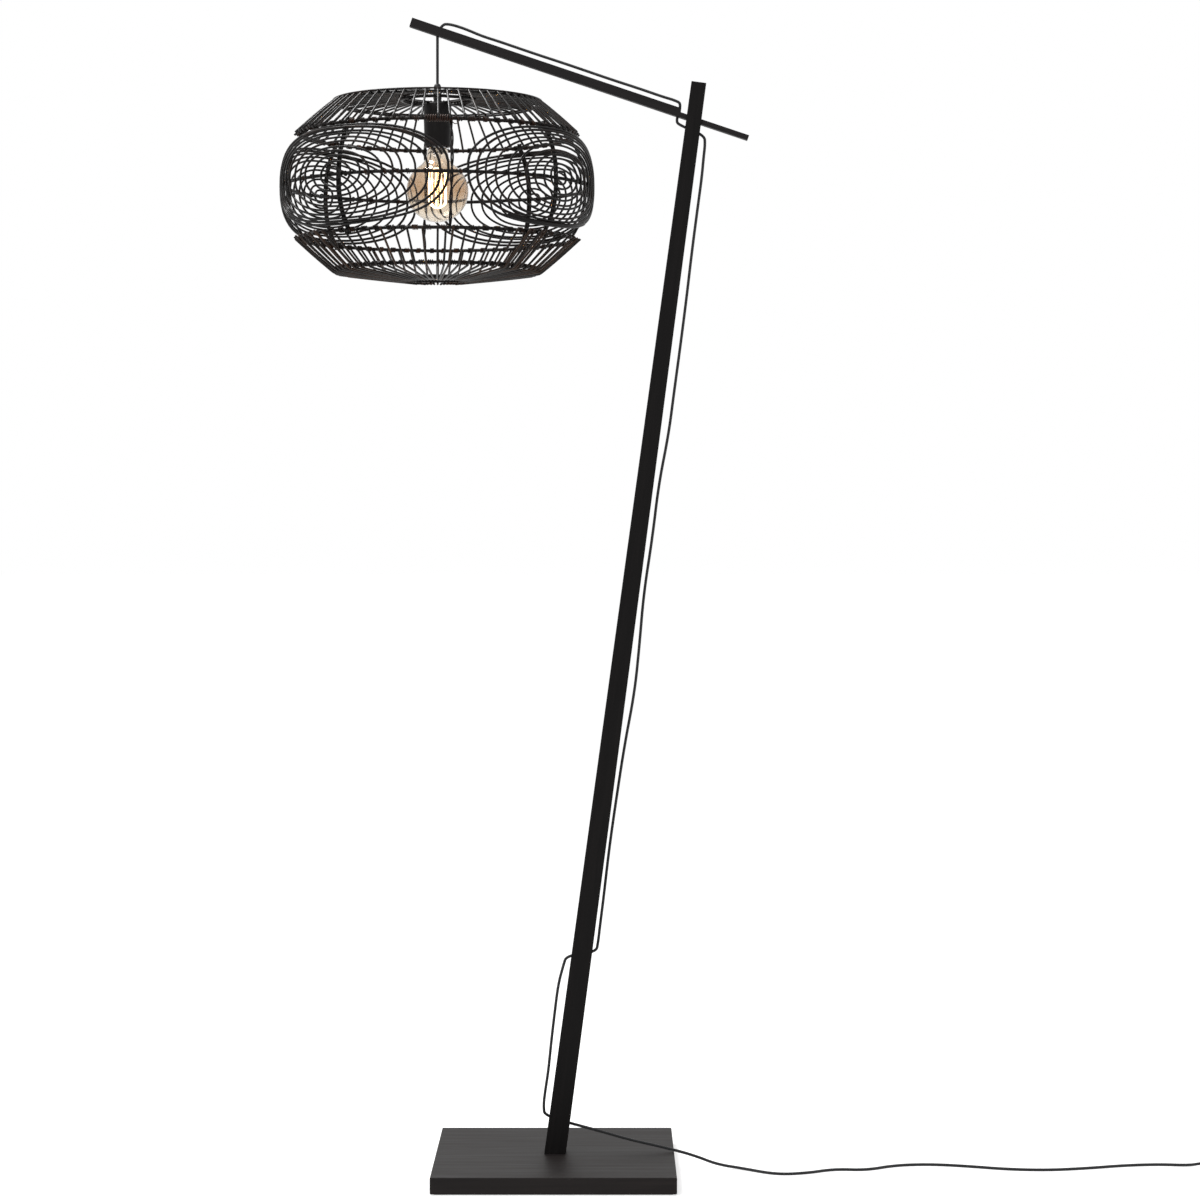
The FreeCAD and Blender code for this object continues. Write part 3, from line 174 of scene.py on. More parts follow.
def cane(name, dark, brown, stops=(0.53, 0.70), rough=(0.27, 0.38), gloss=0.13):
    """Split cane under black stain: long fibres, and each rod a little different."""
    shade = Shade(name, Specular_IOR_Level=gloss)
    tone = shade.add("Attribute", attribute_name="tone").outputs["Fac"]
    fibres = shade.noise(shade.where((14, 90, 1), source="UV"), 1.0, 5.0, 0.6)
    patches = shade.noise(shade.where((20, 20, 20)), 1.0, 3.0)
    mixed = shade.math("ADD", shade.math("MULTIPLY", fibres, 0.45), shade.math("MULTIPLY", patches, 0.35))
    mixed = shade.math("ADD", mixed, shade.math("MULTIPLY", tone, 0.2))
    shade.colour(shade.ramp(mixed, [(stops[0], dark), (stops[1], brown)]))
    shade.rough(shade.ramp(mixed, [(0.35, rough[0]), (0.65, rough[1])]))
    shade.bump(fibres, 0.3, 0.0003)
    return shade.mat


CANE = cane("black_cane", (0.0048, 0.0040, 0.0038), (0.020, 0.0105, 0.0072))
# the upper cover's cane is a lighter copy of the black cane: painted light on the cover's top
CANE_PAINTED_TOP_LIGHT = cane("black_cane_painted_top_light", (0.0055, 0.0046, 0.0043), (0.024, 0.0145, 0.0105), gloss=0.22)
# the lower cover's cane is a browner copy of the black cane: painted warm light of the bulb
CANE_PAINTED_WARM_GLOW = cane(
    "black_cane_painted_warm_glow", (0.0062, 0.0047, 0.0040), (0.062, 0.0330, 0.0190), (0.50, 0.72), (0.34, 0.46)
)
# a brown copy of the binding cane: painted warm light of the bulb on the winding in front of the lampholder
CANE_PAINTED_BULB_LIGHT = cane(
    "cane_binding_painted_bulb_light", (0.008, 0.0048, 0.0038), (0.070, 0.031, 0.018), (0.40, 0.64), (0.36, 0.5)
)
CANE_WRAP = cane(
    "black_cane_binding", (0.0068, 0.0050, 0.0044), (0.055, 0.025, 0.014), (0.5, 0.68), (0.4, 0.55)
)


BRAID_THREADS = 8  # round the cord
BRAID_CROSSINGS = 420  # in a metre


def braid(name, dark, light):
    """Textile braid: two sets of threads that wind round the cord both ways."""
    shade = Shade(name, Roughness=0.85, Sheen_Weight=0.25, Specular_IOR_Level=0.25)
    uv = shade.add("UVMap", uv_map="rod").outputs[0]
    split = shade.add("SeparateXYZ")
    shade.link(uv, split.inputs[0])
    around = shade.math("MULTIPLY", split.outputs[0], 2 * math.pi * BRAID_THREADS)
    along = shade.math("MULTIPLY", split.outputs[1], 2 * math.pi * BRAID_CROSSINGS)
    one = shade.math("SINE", shade.math("ADD", along, around))
    two = shade.math("SINE", shade.math("SUBTRACT", along, around))
    weave = shade.math("MULTIPLY", one, two)
    shade.colour(shade.ramp(shade.math("MULTIPLY_ADD", weave, 0.5), [(0.0, dark), (1.0, light)]))
    shade.bump(weave, 0.5, 0.0004)
    return shade.mat


CORD = braid("cord_braid", (0.008, 0.008, 0.0085), (0.03, 0.03, 0.032))


def plain(name, colour, low, high, scale=180.0, strength=0.12, **sockets):
    """A material of one colour with fine roughness and bump variation."""
    shade = Shade(name, **sockets)
    shade.bsdf.inputs["Base Color"].default_value = (*colour, 1)
    grain = shade.noise(shade.where(), scale, 3.0)
    shade.rough(shade.ramp(grain, [(0.3, low), (0.7, high)]))
    shade.bump(grain, strength, 0.0002)
    return shade.mat


ENAMEL = plain("holder_enamel", (0.0062, 0.0052, 0.0050), 0.42, 0.5, 260.0, 0.08, Specular_IOR_Level=0.14)
BLACK_STEEL = plain("black_steel", (0.008, 0.007, 0.007), 0.4, 0.55, 300.0, 0.1, Specular_IOR_Level=0.2)
PLATED = plain("plated_steel", (0.62, 0.62, 0.63), 0.22, 0.34, 220.0, 0.05, Metallic=1.0)
BRASS = plain("brass_leaf", (0.72, 0.52, 0.24), 0.25, 0.4, 220.0, 0.05, Metallic=1.0)
PLASTIC = plain("black_plastic", (0.009, 0.009, 0.0093), 0.38, 0.5, 900.0, 0.2, Specular_IOR_Level=0.28)
RUBBER = plain("soft_relief", (0.009, 0.009, 0.009), 0.6, 0.75, 500.0, 0.15, Specular_IOR_Level=0.2)
CERAMIC = plain("holder_core", (0.62, 0.6, 0.56), 0.35, 0.5, 160.0, 0.08)
FELT = plain("felt_pad", (0.012, 0.012, 0.012), 0.9, 1.0, 1400.0, 0.9, Sheen_Weight=0.3)


TINT_PLACES = (0.0, 0.2, 0.42, 0.62, 1.0)  # shares of the way from a low level to a high one
ROD_REFLECTION_STREAKS = 0.5  # how far faint streaks, painted reflections of the dark rods, shift the tint


def glass(name, colours, low, high):
    """Clear glass whose tint changes with the height, one colour at each of the tint places."""
    shade = Shade(name, Roughness=0.0, IOR=1.45, Transmission_Weight=1.0)
    split = shade.add("SeparateXYZ")
    shade.link(shade.add("TexCoord").outputs["Object"], split.inputs[0])
    share = shade.math("DIVIDE", shade.math("SUBTRACT", split.outputs[2], low), high - low)
    # faint streaks in the tint: painted reflections of the dark rods
    streaks = shade.noise(shade.where((70, 70, 9)), 1.0, 3.0)
    share = shade.math("ADD", share, shade.math("MULTIPLY", shade.math("SUBTRACT", streaks, 0.5), ROD_REFLECTION_STREAKS))
    shade.colour(shade.ramp(share, list(zip(TINT_PLACES, colours))))
    return shade.mat


BULB_LOW, BULB_HIGH = (corner[2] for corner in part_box("bulb_glass"))
TINTS = (
    (0.94, 0.89, 0.81),
    (0.87, 0.79, 0.68),
    (0.69, 0.545, 0.405),
    (0.75, 0.62, 0.49),
    (0.88, 0.83, 0.76),
)
AMBER = glass("amber_glass", TINTS, BULB_LOW, BULB_HIGH)
CLEAR = glass("clear_glass", ((0.97, 0.965, 0.95),) * len(TINT_PLACES), BULB_LOW, BULB_HIGH)


def glowing(name, colour, strength):
    shade = Shade(name, Roughness=0.5, Emission_Strength=strength)
    shade.bsdf.inputs["Base Color"].default_value = (*colour, 1)
    shade.bsdf.inputs["Emission Color"].default_value = (*colour, 1)
    return shade.mat


FILAMENT = glowing("filament", (1.0, 0.84, 0.58), 4.2)

# -------------------- mesh makers


def new_object(name, mesh, material, body):
    piece = bpy.data.objects.new(name, mesh)
    bpy.context.scene.collection.objects.link(piece)
    mesh.materials.append(material)
    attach(piece, body)
    return piece


class Rods:
    """Round rods along lines of points, gathered into one mesh."""

    def __init__(self):
        self.points, self.faces, self.uvs, self.tones, self.flat = [], [], [], [], set()

    def add(self, line, radius, sides, closed=False):
        count = len(line)
        tone = random.random()
        ways = []
        for i in range(count):
            before = line[i - 1] if closed or i else line[0]
            after = line[(i + 1) % count] if closed or i < count - 1 else line[-1]
            ways.append((after - before).normalized())
        side = ways[0].orthogonal().normalized()
        sides_at = []
        for way in ways:
            side = (side - way * side.dot(way)).normalized()
            sides_at.append(side)
        twist = 0.0
        if closed:
            last = (side - ways[0] * side.dot(ways[0])).normalized()
            first = sides_at[0]
            twist = math.atan2(last.cross(first).dot(ways[0]), last.dot(first))
        start = len(self.points)
        length = 0.0
        lengths = []
        for i, (point, way, side) in enumerate(zip(line, ways, sides_at)):
            if i:
                length += (point - line[i - 1]).length
            lengths.append(length)
            other = way.cross(side)
            extra = twist * i / count
            size = radius(i / max(1, count - 1)) if callable(radius) else radius
            for k in range(sides):
                angle = 2 * math.pi * k / sides + extra
                self.points.append(point + (side * math.cos(angle) + other * math.sin(angle)) * size)
                self.tones.append(tone)
        if closed:
            lengths.append(length + (line[0] - line[-1]).length)
        for i in range(count if closed else count - 1):
            near = start + i * sides
            far = start + ((i + 1) % count) * sides
            for k in range(sides):
                up = (k + 1) % sides
                self.faces.append((near + k, near + up, far + up, far + k))
                u0, u1 = k / sides, (k + 1) / sides
                v0, v1 = lengths[i], lengths[i + 1]
                self.uvs += [(u0, v0), (u1, v0), (u1, v1), (u0, v1)]
        if not closed:
            for ring, turned in ((start, True), (start + (count - 1) * sides, False)):
                loop = [ring + k for k in range(sides)]
                self.flat.add(len(self.faces))
                self.faces.append(tuple(reversed(loop)) if turned else tuple(loop))
                self.uvs += [(0.0, 0.0)] * sides
        return self

    def build(self, name, material, body, slot):
        mesh = bpy.data.meshes.new(name)
        mesh.from_pydata(self.points, [], self.faces)
        layer = mesh.uv_layers.new(name="rod")
        layer.data.foreach_set("uv", [x for uv in self.uvs for x in uv])
        tones = mesh.attributes.new("tone", "FLOAT", "POINT")
        tones.data.foreach_set("value", self.tones)
        mesh.polygons.foreach_set("use_smooth", [i not in self.flat for i in range(len(self.faces))])
        mesh.update()
        return new_object(name, mesh, material, body)


def lathe(name, outline, centre, material, body, segments=64, closed=True, edge=35.0):
    """A turned piece from its outline of (radius, height), counter-clockwise where it is closed."""
    points, faces = [], []
    rings = []
    for radius, height in outline:
        if radius < 1e-6:
            rings.append([len(points)])
            points.append(Vector((0, 0, height)) + centre)
            continue
        rings.append(list(range(len(points), len(points) + segments)))
        for k in range(segments):
            angle = 2 * math.pi * k / segments
            points.append(Vector((radius * math.cos(angle), radius * math.sin(angle), height)) + centre)
    pairs = list(zip(rings, rings[1:]))
    if closed:
        pairs.append((rings[-1], rings[0]))
    for low, high in pairs:
        for k in range(segments):
            far = (k + 1) % segments
            if len(low) == 1:
                faces.append((low[0], high[far], high[k]))
            elif len(high) == 1:
                faces.append((low[k], low[far], high[0]))
            else:
                faces.append((low[k], low[far], high[far], high[k]))
    mesh = bpy.data.meshes.new(name)
    mesh.from_pydata(points, [], faces)
    mesh.polygons.foreach_set("use_smooth", [True] * len(faces))
    mesh.update()
    mesh.set_sharp_from_angle(angle=math.radians(edge))
    return new_object(name, mesh, material, body)


def rounded(radius_height, bevel, steps=3):
    """An outline of (radius, height) with its corners rounded."""
    made = []
    count = len(radius_height)
    for i, corner in enumerate(radius_height):
        corner = Vector((*corner, 0))
        before = Vector((*radius_height[i - 1], 0)) - corner
        after = Vector((*radius_height[(i + 1) % count], 0)) - corner
        if corner.x < 1e-6:
            made.append((corner.x, corner.y))
            continue
        reach = min(bevel, 0.45 * before.length, 0.45 * after.length)
        start = corner + before.normalized() * reach
        end = corner + after.normalized() * reach
        for k in range(steps + 1):
            t = k / steps
            p = start * (1 - t) ** 2 + corner * 2 * t * (1 - t) + end * t**2
            made.append((p.x, p.y))
    return made


def block(name, corners, material, body, bevel, segments):
    """A block from its eight corners, low ones first, with rounded edges."""
    mesh = bpy.data.meshes.new(name)
    sides = [(3, 2, 1, 0), (4, 5, 6, 7), (0, 1, 5, 4), (1, 2, 6, 5), (2, 3, 7, 6), (3, 0, 4, 7)]
    mesh.from_pydata([Vector(c) for c in corners], [], sides)
    mesh.polygons.foreach_set("use_smooth", [True] * len(sides))
    piece = new_object(name, mesh, material, body)
    rounding = piece.modifiers.new("edges", "BEVEL")
    rounding.width = bevel
    rounding.segments = segments
    rounding.limit_method = "ANGLE"
    rounding.harden_normals = True
    return piece


def box_corners(low, high):
    x0, y0, z0 = low
    x1, y1, z1 = high
    return [(x, y, z) for z in (z0, z1) for x, y in ((x0, y0), (x1, y0), (x1, y1), (x0, y1))]


def at(radius, height, degrees):
    """A point of the cage: degrees from the front, growing towards +X."""
    angle = math.radians(degrees)
    return Vector((AXIS + radius * math.sin(angle), -radius * math.cos(angle), height))


def wobble(shift, size, speed=1.0):
    """A smooth closed wave of a few random parts, by degrees; an odd shift raises their speeds by one."""
    waves = [(random.uniform(0.4, 1.0), k + shift % 2, random.uniform(0, 6.28)) for k in (1, 2, 3, 5)]
    total = sum(w[0] for w in waves)
    return lambda degrees: size / total * sum(
        a * math.sin(math.radians(degrees) * k * speed + p) for a, k, p in waves
    )


def spline_points(points, resolution=12):
    """The smooth line through a cord's route, as even points along its NURBS spline."""
    curve = bpy.data.curves.new("route", "CURVE")
    curve.dimensions = "3D"
    curve.resolution_u = resolution
    spline = curve.splines.new("NURBS")
    spline.points.add(len(points) - 1)
    for place, point in zip(spline.points, points):
        place.co = (*point, 1)
    spline.order_u = 3
    spline.use_endpoint_u = True
    holder = bpy.data.objects.new("route", curve)
    bpy.context.scene.collection.objects.link(holder)
    mesh = bpy.data.meshes.new_from_object(holder)
    line = [v.co.copy() for v in mesh.vertices]
    bpy.data.objects.remove(holder)
    bpy.data.meshes.remove(mesh)
    bpy.data.curves.remove(curve)
    return line


CORD_RADIUS = 0.0022


def cord(name, line, body, nodes):
    piece = Rods().add(line, CORD_RADIUS, 12).build(name, CORD, body, "cord_textile")
    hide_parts(*nodes)
    return piece


def metres(points):
    return [Vector(p) / 1000 for p in points]


# -------------------- camera, floor and light
camera = bpy.data.objects.new("camera", bpy.data.cameras.new("camera"))
bpy.context.scene.collection.objects.link(camera)
camera.location = (0.070, -4.665, 1.0152)
camera.rotation_euler = (math.pi / 2, 0, 0)
camera.data.lens = 91.5
camera.data.sensor_width = 36.0
camera.data.shift_x = -0.0008
camera.data.shift_y = -0.0792
camera.data.clip_end = 200.0
bpy.context.scene.camera = camera
bpy.context.scene.view_settings.view_transform = "Standard"


def seen_rays(tree):
    """1 for rays that the camera, a reflection or clear glass sends, else 0."""
    path = tree.nodes.new("ShaderNodeLightPath")
    total = path.outputs["Is Camera Ray"]
    for name in ("Is Glossy Ray", "Is Transmission Ray"):
        most = tree.nodes.new("ShaderNodeMath")
        most.operation = "MAXIMUM"
        tree.links.new(total, most.inputs[0])
        tree.links.new(path.outputs[name], most.inputs[1])
        total = most.outputs[0]
    return total


LIGHT_LEVEL = 0.62  # of the world on surfaces
FLOOR_GLOW = 0.50  # of the floor in seen rays, so that it ends in the world's white
FLOOR = 40.0  # half its side
world = bpy.data.worlds.new("studio")
bpy.context.scene.world = world
world.use_nodes = True
background = world.node_tree.nodes["Background"]
background.inputs["Color"].default_value = (1, 1, 1, 1)
level = world.node_tree.nodes.new("ShaderNodeMapRange")
level.inputs["To Min"].default_value = LIGHT_LEVEL
level.inputs["To Max"].default_value = 1.0
world.node_tree.links.new(seen_rays(world.node_tree), level.inputs["Value"])
world.node_tree.links.new(level.outputs[0], background.inputs["Strength"])

floor_mesh = bpy.data.meshes.new("floor")
floor_corners = [(-FLOOR, -FLOOR, 0), (FLOOR, -FLOOR, 0), (FLOOR, FLOOR, 0), (-FLOOR, FLOOR, 0)]
floor_mesh.from_pydata(floor_corners, [], [(0, 1, 2, 3)])
floor = bpy.data.objects.new("floor", floor_mesh)
bpy.context.scene.collection.objects.link(floor)
floor_shade = Shade("pale_floor", Roughness=0.9, Specular_IOR_Level=0.1)
floor_shade.bsdf.inputs["Base Color"].default_value = (0.8, 0.8, 0.8, 1)
floor_shade.bsdf.inputs["Emission Color"].default_value = (1, 1, 1, 1)
lift = floor_shade.math("MULTIPLY", seen_rays(floor_shade.tree), FLOOR_GLOW)
floor_shade.link(lift, floor_shade.bsdf.inputs["Emission Strength"])
floor_mesh.materials.append(floor_shade.mat)


def soft_light(name, place, target, size, power):
    lamp = bpy.data.objects.new(name, bpy.data.lights.new(name, "AREA"))
    lamp.data.shape = "DISK"
    lamp.data.size = size
    lamp.data.energy = power
    lamp.location = place
    lamp.rotation_euler = (Vector(target) - Vector(place)).to_track_quat("-Z", "Y").to_euler()
    bpy.context.scene.collection.objects.link(lamp)


soft_light("key", (-1.6, -3.2, 3.6), (0, 0, 0.9), 2.0, 70)
soft_light("fill", (2.6, -2.4, 2.4), (0, 0, 0.9), 2.4, 12)
soft_light("overhead", (-0.9, 0.25, 3.1), (-0.18, 0, 1.5), 0.8, 50)

# -------------------- free cord, switch, coil and plug
FREE_CORD = metres(
    [
        (23.4, 0, 69.7), (66.0, 0.4, 58.4), (116.0, 0.2, 44.0), (156.0, -0.6, 35.5),
        (211.0, -1.6, 21.5), (247.0, -3.0, 7.4), (286.0, -7.0, 2.2), (335.0, -50.0, 2.2),
        (383.0, -40.0, 2.2), (426.0, -12.0, 2.2), (474.0, -20.0, 2.2), (520.0, 14.0, 2.2),
        (575.0, 22.0, 2.2), (632.0, 8.0, 2.2), (690.0, -14.0, 2.2), (752.0, -20.0, 2.2),
        (815.0, -6.0, 2.2), (874.0, 14.0, 2.2), (929.0, 21.0, 2.2), (972.0, 12.0, 2.6),
        (990.0, 8.0, 6.6), (1007.0, 8.0, 7.0), (1027.5, 8.0, 7.0),
    ]
)
SWITCH_END = Vector((1.123, 0.008, 0.007))
COIL_TURNS = 2.5
COIL_POINTS = 16  # in each turn
COIL_OUTSIDE = 0.0385  # radius of the outer turn
COIL_STEP = 0.0052  # what each turn lies further in
COIL_LAYER = 0.0050  # rise of the second layer
COIL_DIP = 0.0009  # what the climbing half turn bends inwards
COIL_CENTRE = Vector((1.172, 0.008 + COIL_OUTSIDE, 0))


def coil_point(turns):
    """The cord's middle after some turns: inwards on the floor, a climb, and outwards on top."""
    layer = (COIL_TURNS - 0.5) / 2
    inside = COIL_OUTSIDE - COIL_STEP * layer
    if turns <= layer:
        radius, height = COIL_OUTSIDE - COIL_STEP * turns, 0.0
    elif turns <= layer + 0.5:
        climb = (turns - layer) / 0.5
        radius = inside - COIL_DIP * math.sin(math.pi * climb) ** 2
        height = COIL_LAYER * (1 - math.cos(math.pi * climb)) / 2
    else:
        radius, height = inside + COIL_STEP * (turns - layer - 0.5), COIL_LAYER
    angle = 2 * math.pi * turns - math.pi / 2
    return COIL_CENTRE + Vector((math.cos(angle) * radius, math.sin(angle) * radius, CORD_RADIUS + height))


COILED = [coil_point(i / COIL_POINTS) for i in range(1, int(COIL_TURNS * COIL_POINTS))]
SECOND_CORD = (
    [SWITCH_END]
    + metres([(1135, 8, 6.4), (1158, 8, 2.4)])
    + COILED
    + metres([(1160, 85, 7.2), (1137, 86.4, 6.4), (1112, 86, 7.1), (1100, 86, 7.0)])
)

free_line = spline_points(FREE_CORD)
free_cord = cord("free_cord", free_line, "stand", ["mains_cord"])
second_line = spline_points(SECOND_CORD, 8)
plug_side_cord = cord("plug_side_cord", second_line, "stand", ["switch_cord", "cord_coil", "plug_cord"])

RELIEF_LONG = 0.020
RELIEF_WIDE = 0.0060  # radius at the housing
RELIEF_TAPER = 0.0022
RELIEF_TIP = 0.0037
RELIEF_BORE = CORD_RADIUS + 0.0001
RELIEF_RIBS = 6
RELIEF_PITCH = 0.003
RELIEF_GROOVE = 0.0006


def relief(name, start, way, node):
    """A ribbed strain relief that narrows along the cord."""
    outline = [(RELIEF_BORE, 0.0), (RELIEF_WIDE, 0.0)]
    for k in range(RELIEF_RIBS):
        z = 0.002 + k * RELIEF_PITCH
        r = RELIEF_WIDE - RELIEF_TAPER * z / RELIEF_LONG
        bottom = r - RELIEF_GROOVE
        outline += [(r, z), (bottom, z + 0.0008), (bottom, z + 0.0016), (r - 0.0002, z + 0.0022)]
    outline += [(RELIEF_TIP, RELIEF_LONG), (RELIEF_BORE, RELIEF_LONG)]
    piece = lathe(name, outline, Vector(), RUBBER, "stand", 32)
    turn = Vector((0, 0, 1)).rotation_difference(Vector(way)).to_matrix().to_4x4()
    piece.data.transform(Matrix.Translation(Vector(start)) @ turn)
    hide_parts(node)
    return piece


reliefs = [
    relief("switch_inlet_sleeve", (1.027, 0.008, 0.007), (-1, 0, 0), "switch_inlet_relief"),
    relief("switch_outlet_sleeve", (1.103, 0.008, 0.007), (1, 0, 0), "switch_outlet_relief"),
    relief("plug_sleeve", (1.080, 0.086, 0.007), (1, 0, 0), "plug_relief"),
]


def capsule_outline(half_long, half_wide, corner, steps=6):
    """Corners of a rounded rectangle in plan, counter-clockwise."""
    made = []
    for sx, sy, start in ((1, -1, -90), (1, 1, 0), (-1, 1, 90), (-1, -1, 180)):
        cx, cy = sx * (half_long - corner), sy * (half_wide - corner)
        for k in range(steps + 1):
            angle = math.radians(start + 90 * k / steps)
            made.append((cx + corner * math.cos(angle), cy + corner * math.sin(angle)))
    return made


def lofted(name, rings, centre, material, body, edge=40.0):
    """A closed shell through rings of (outline in plan, height), lowest first."""
    count = len(rings[0][0])
    points = [Vector((x, y, z)) + centre for outline, z in rings for x, y in outline]
    faces = []
    for i in range(len(rings) - 1):
        for k in range(count):
            far = (k + 1) % count
            a, b = i * count, (i + 1) * count
            faces.append((a + k, a + far, b + far, b + k))
    faces.append(tuple(reversed(range(count))))
    faces.append(tuple(range((len(rings) - 1) * count, len(rings) * count)))
    mesh = bpy.data.meshes.new(name)
    mesh.from_pydata(points, [], faces)
    mesh.polygons.foreach_set("use_smooth", [True] * (len(faces) - 2) + [False] * 2)
    mesh.update()
    mesh.set_sharp_from_angle(angle=math.radians(edge))
    return new_object(name, mesh, material, body)


SWITCH = Vector((1.065, 0.008, 0))
SWITCH_HALF_LONG = 0.038
SWITCH_HALF_WIDE = 0.018
SWITCH_CORNER = 0.0125


def switch_ring_at(inset, height):
    """The switch's outline in plan, drawn in by an inset, and its height."""
    plan = capsule_outline(SWITCH_HALF_LONG - inset, SWITCH_HALF_WIDE - inset, SWITCH_CORNER - inset)
    return plan, height


def switch_shell(name, low, high, round_low, round_high):
    """Half of the switch's housing, with rounded lower and upper edges."""
    rings = []
    for k in range(4):
        angle = math.radians(90 * k / 3)
        inset, rise = round_low * (1 - math.sin(angle)), round_low * (1 - math.cos(angle))
        rings.append(switch_ring_at(inset, low + rise))
    for k in range(6):
        angle = math.radians(90 * k / 5)
        inset, rise = round_high * (1 - math.cos(angle)), round_high * math.sin(angle)
        rings.append(switch_ring_at(inset, high - round_high + rise))
    return lofted(name, rings, SWITCH, PLASTIC, "stand")


switch_low = switch_shell("switch_bottom", 0.0, 0.0093, 0.001, 0.0004)
switch_top = switch_shell("switch_top", 0.0097, 0.021, 0.0004, 0.0035)
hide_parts("switch_base")
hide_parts("switch_cover", "switch_unit")
ring_outline = rounded([(0.0119, 0.0200), (0.0134, 0.0200), (0.0134, 0.0217), (0.0119, 0.0217)], 0.0006)
switch_ring = lathe("switch_ring", ring_outline, SWITCH, PLASTIC, "stand")
button_corners = [(0, 0.0172), (0.0115, 0.0172), (0.0115, 0.0245), (0.0095, 0.0255), (0, 0.0252)]
button_outline = rounded(button_corners, 0.0012)
button = lathe("foot_button", button_outline, SWITCH, PLASTIC, "switch_button", closed=False)
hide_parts("switch_button")

PLUG = Vector((1.046, 0.086, 0.0068))
# (distance from the front, half width, half height) along the plug's body
PLUG_SECTIONS = (
    (0.0, 0.0142, 0.0062),
    (0.0008, 0.0150, 0.0068),
    (0.010, 0.0150, 0.0068),
    (0.016, 0.0146, 0.0067),
    (0.024, 0.0112, 0.0064),
    (0.030, 0.0086, 0.0063),
    (0.0332, 0.0074, 0.0062),
    (0.0340, 0.0066, 0.0056),
)
PIN_ASIDE = 0.0093  # from the plug's middle
PIN_LONG = 0.019
PIN_RADIUS = 0.002
PIN_TIP_RADIUS = 0.0012
Z_ALONG_X = Matrix(((0, 0, 1, 0), (1, 0, 0, 0), (0, 1, 0, 0), (0, 0, 0, 1)))
plug_rings = [(capsule_outline(wide, high, high * 0.9), x) for x, wide, high in PLUG_SECTIONS]
plug = lofted("plug_housing", plug_rings, Vector(), PLASTIC, "stand")
plug.data.transform(Matrix.Translation(PLUG) @ Z_ALONG_X)
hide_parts("plug_body")
pins = Rods()
for side in (-PIN_ASIDE, PIN_ASIDE):
    foot = PLUG + Vector((0, side, 0))
    tip = foot - Vector((PIN_LONG, 0, 0))
    neck = foot.lerp(tip, 0.93)
    pins.add([foot, foot.lerp(tip, 0.5), neck, tip], lambda t: PIN_RADIUS if t < 0.9 else PIN_TIP_RADIUS, 16)
plug_pins = pins.build("plug_pin_pair", PLATED, "stand", "plated_steel")
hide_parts("plug_pins")

# -------------------- cord along the wood, and the hanging cord
THREADED = metres(
    [
        (-181.1, 0, 1734.6), (-173.8, 0, 1750.4), (-160.5, 0, 1750.6), (-138.0, 0.6, 1743.6),
        (-112.0, 1.0, 1732.4), (-84.0, 0.8, 1723.6), (-34.0, 0.2, 1706.2), (24.0, 0, 1687.2),
        (84.0, -0.3, 1666.4), (132.0, -0.2, 1650.9), (164.0, 0, 1639.7), (183.5, 0, 1634.0),
        (193.3, 0, 1628.6), (184.6, 0, 1602.6), (190.0, 0, 1596.1), (228.2, 0, 1580.6),
        (229.3, 0.3, 1567.0), (226.9, 0.4, 1546.0), (224.2, 0, 1516.0), (217.9, -0.4, 1470.0),
        (209.0, -0.2, 1402.0), (200.9, 0, 1332.0), (191.4, 0.4, 1258.0), (181.6, 0.6, 1186.0),
        (173.6, 0.2, 1124.0), (158.2, 0, 1046.0), (148.8, -0.4, 966.0), (135.4, -0.2, 880.0),
        (128.8, 0.2, 800.0), (121.4, 0.4, 728.0), (106.4, 0, 650.0), (93.2, -0.2, 564.0),
        (82.6, 0, 490.0), (74.2, 0.2, 416.0), (68.6, 0, 372.0), (65.6, 0, 346.0), (62.6, 0, 331.2),
        (17.3, 0, 326.3), (12.4, 0, 311.0), (4.6, 0.3, 282.0), (-0.9, 0.4, 238.0), (-6.3, 0, 192.0),
        (-10.4, -0.3, 150.0), (-16.2, 0, 113.0), (-17.8, 0, 95.0), (-16.0, 0, 80.1),
        (23.4, 0, 69.7),
    ]
)
cord("cord_along_wood", spline_points(THREADED), "stand", ["threaded_cord"])
FLEX = Vector((AXIS, 0, 1.7314))  # the cord bends here, where it leaves the arm
bend_outline = [(0, -CORD_RADIUS)]
for degrees in range(-75, 90, 15):
    angle = math.radians(degrees)
    bend_outline.append((CORD_RADIUS * math.cos(angle), CORD_RADIUS * math.sin(angle)))
bend_outline.append((0, CORD_RADIUS))
bend = lathe("cord_turn", bend_outline, FLEX, CORD, "cord_bend", 24, closed=False)
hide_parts("cord_bend")
DROP_TOP = Vector((AXIS, 0, FLEX.z - 0.0004))
DROP_LOW = Vector((AXIS, 0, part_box("drop_cord")[0][2]))
DROP_STEPS = 8
drop_line = [DROP_TOP.lerp(DROP_LOW, k / DROP_STEPS) for k in range(DROP_STEPS + 1)]
cord("hanging_cord", drop_line, "drop_cord", ["drop_cord"])


def dress(name, material):
    for place in nodes[name].material_slots:
        place.material = material


BASE_HALF = 0.182
BASE_LOW = 0.0015  # the felt lies under it
plate_corners = box_corners((-BASE_HALF, -BASE_HALF, BASE_LOW), (BASE_HALF, BASE_HALF, BASE_TOP))
plate = block("base_board", plate_corners, BASE_WOOD, "stand", 0.0016, 4)
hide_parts("base_plate")
dress("base_felt", FELT)
dress("pole", POLE_WOOD)
dress("arm", ARM_WOOD)
for name in ("base_bolt", "base_washer", "pole_sleeve", "nipple", "lock_nut", "screw_shell"):
    dress(name, PLATED)
dress("cage_carrier", BLACK_STEEL)
dress("holder_core", CERAMIC)
dress("centre_contact", BRASS)
dress("lead_wires", PLASTIC)
dress("bulb_tip", BRASS)

# -------------------- lampholder
HOLDER = Vector((AXIS, 0, HOLDER_TOP))
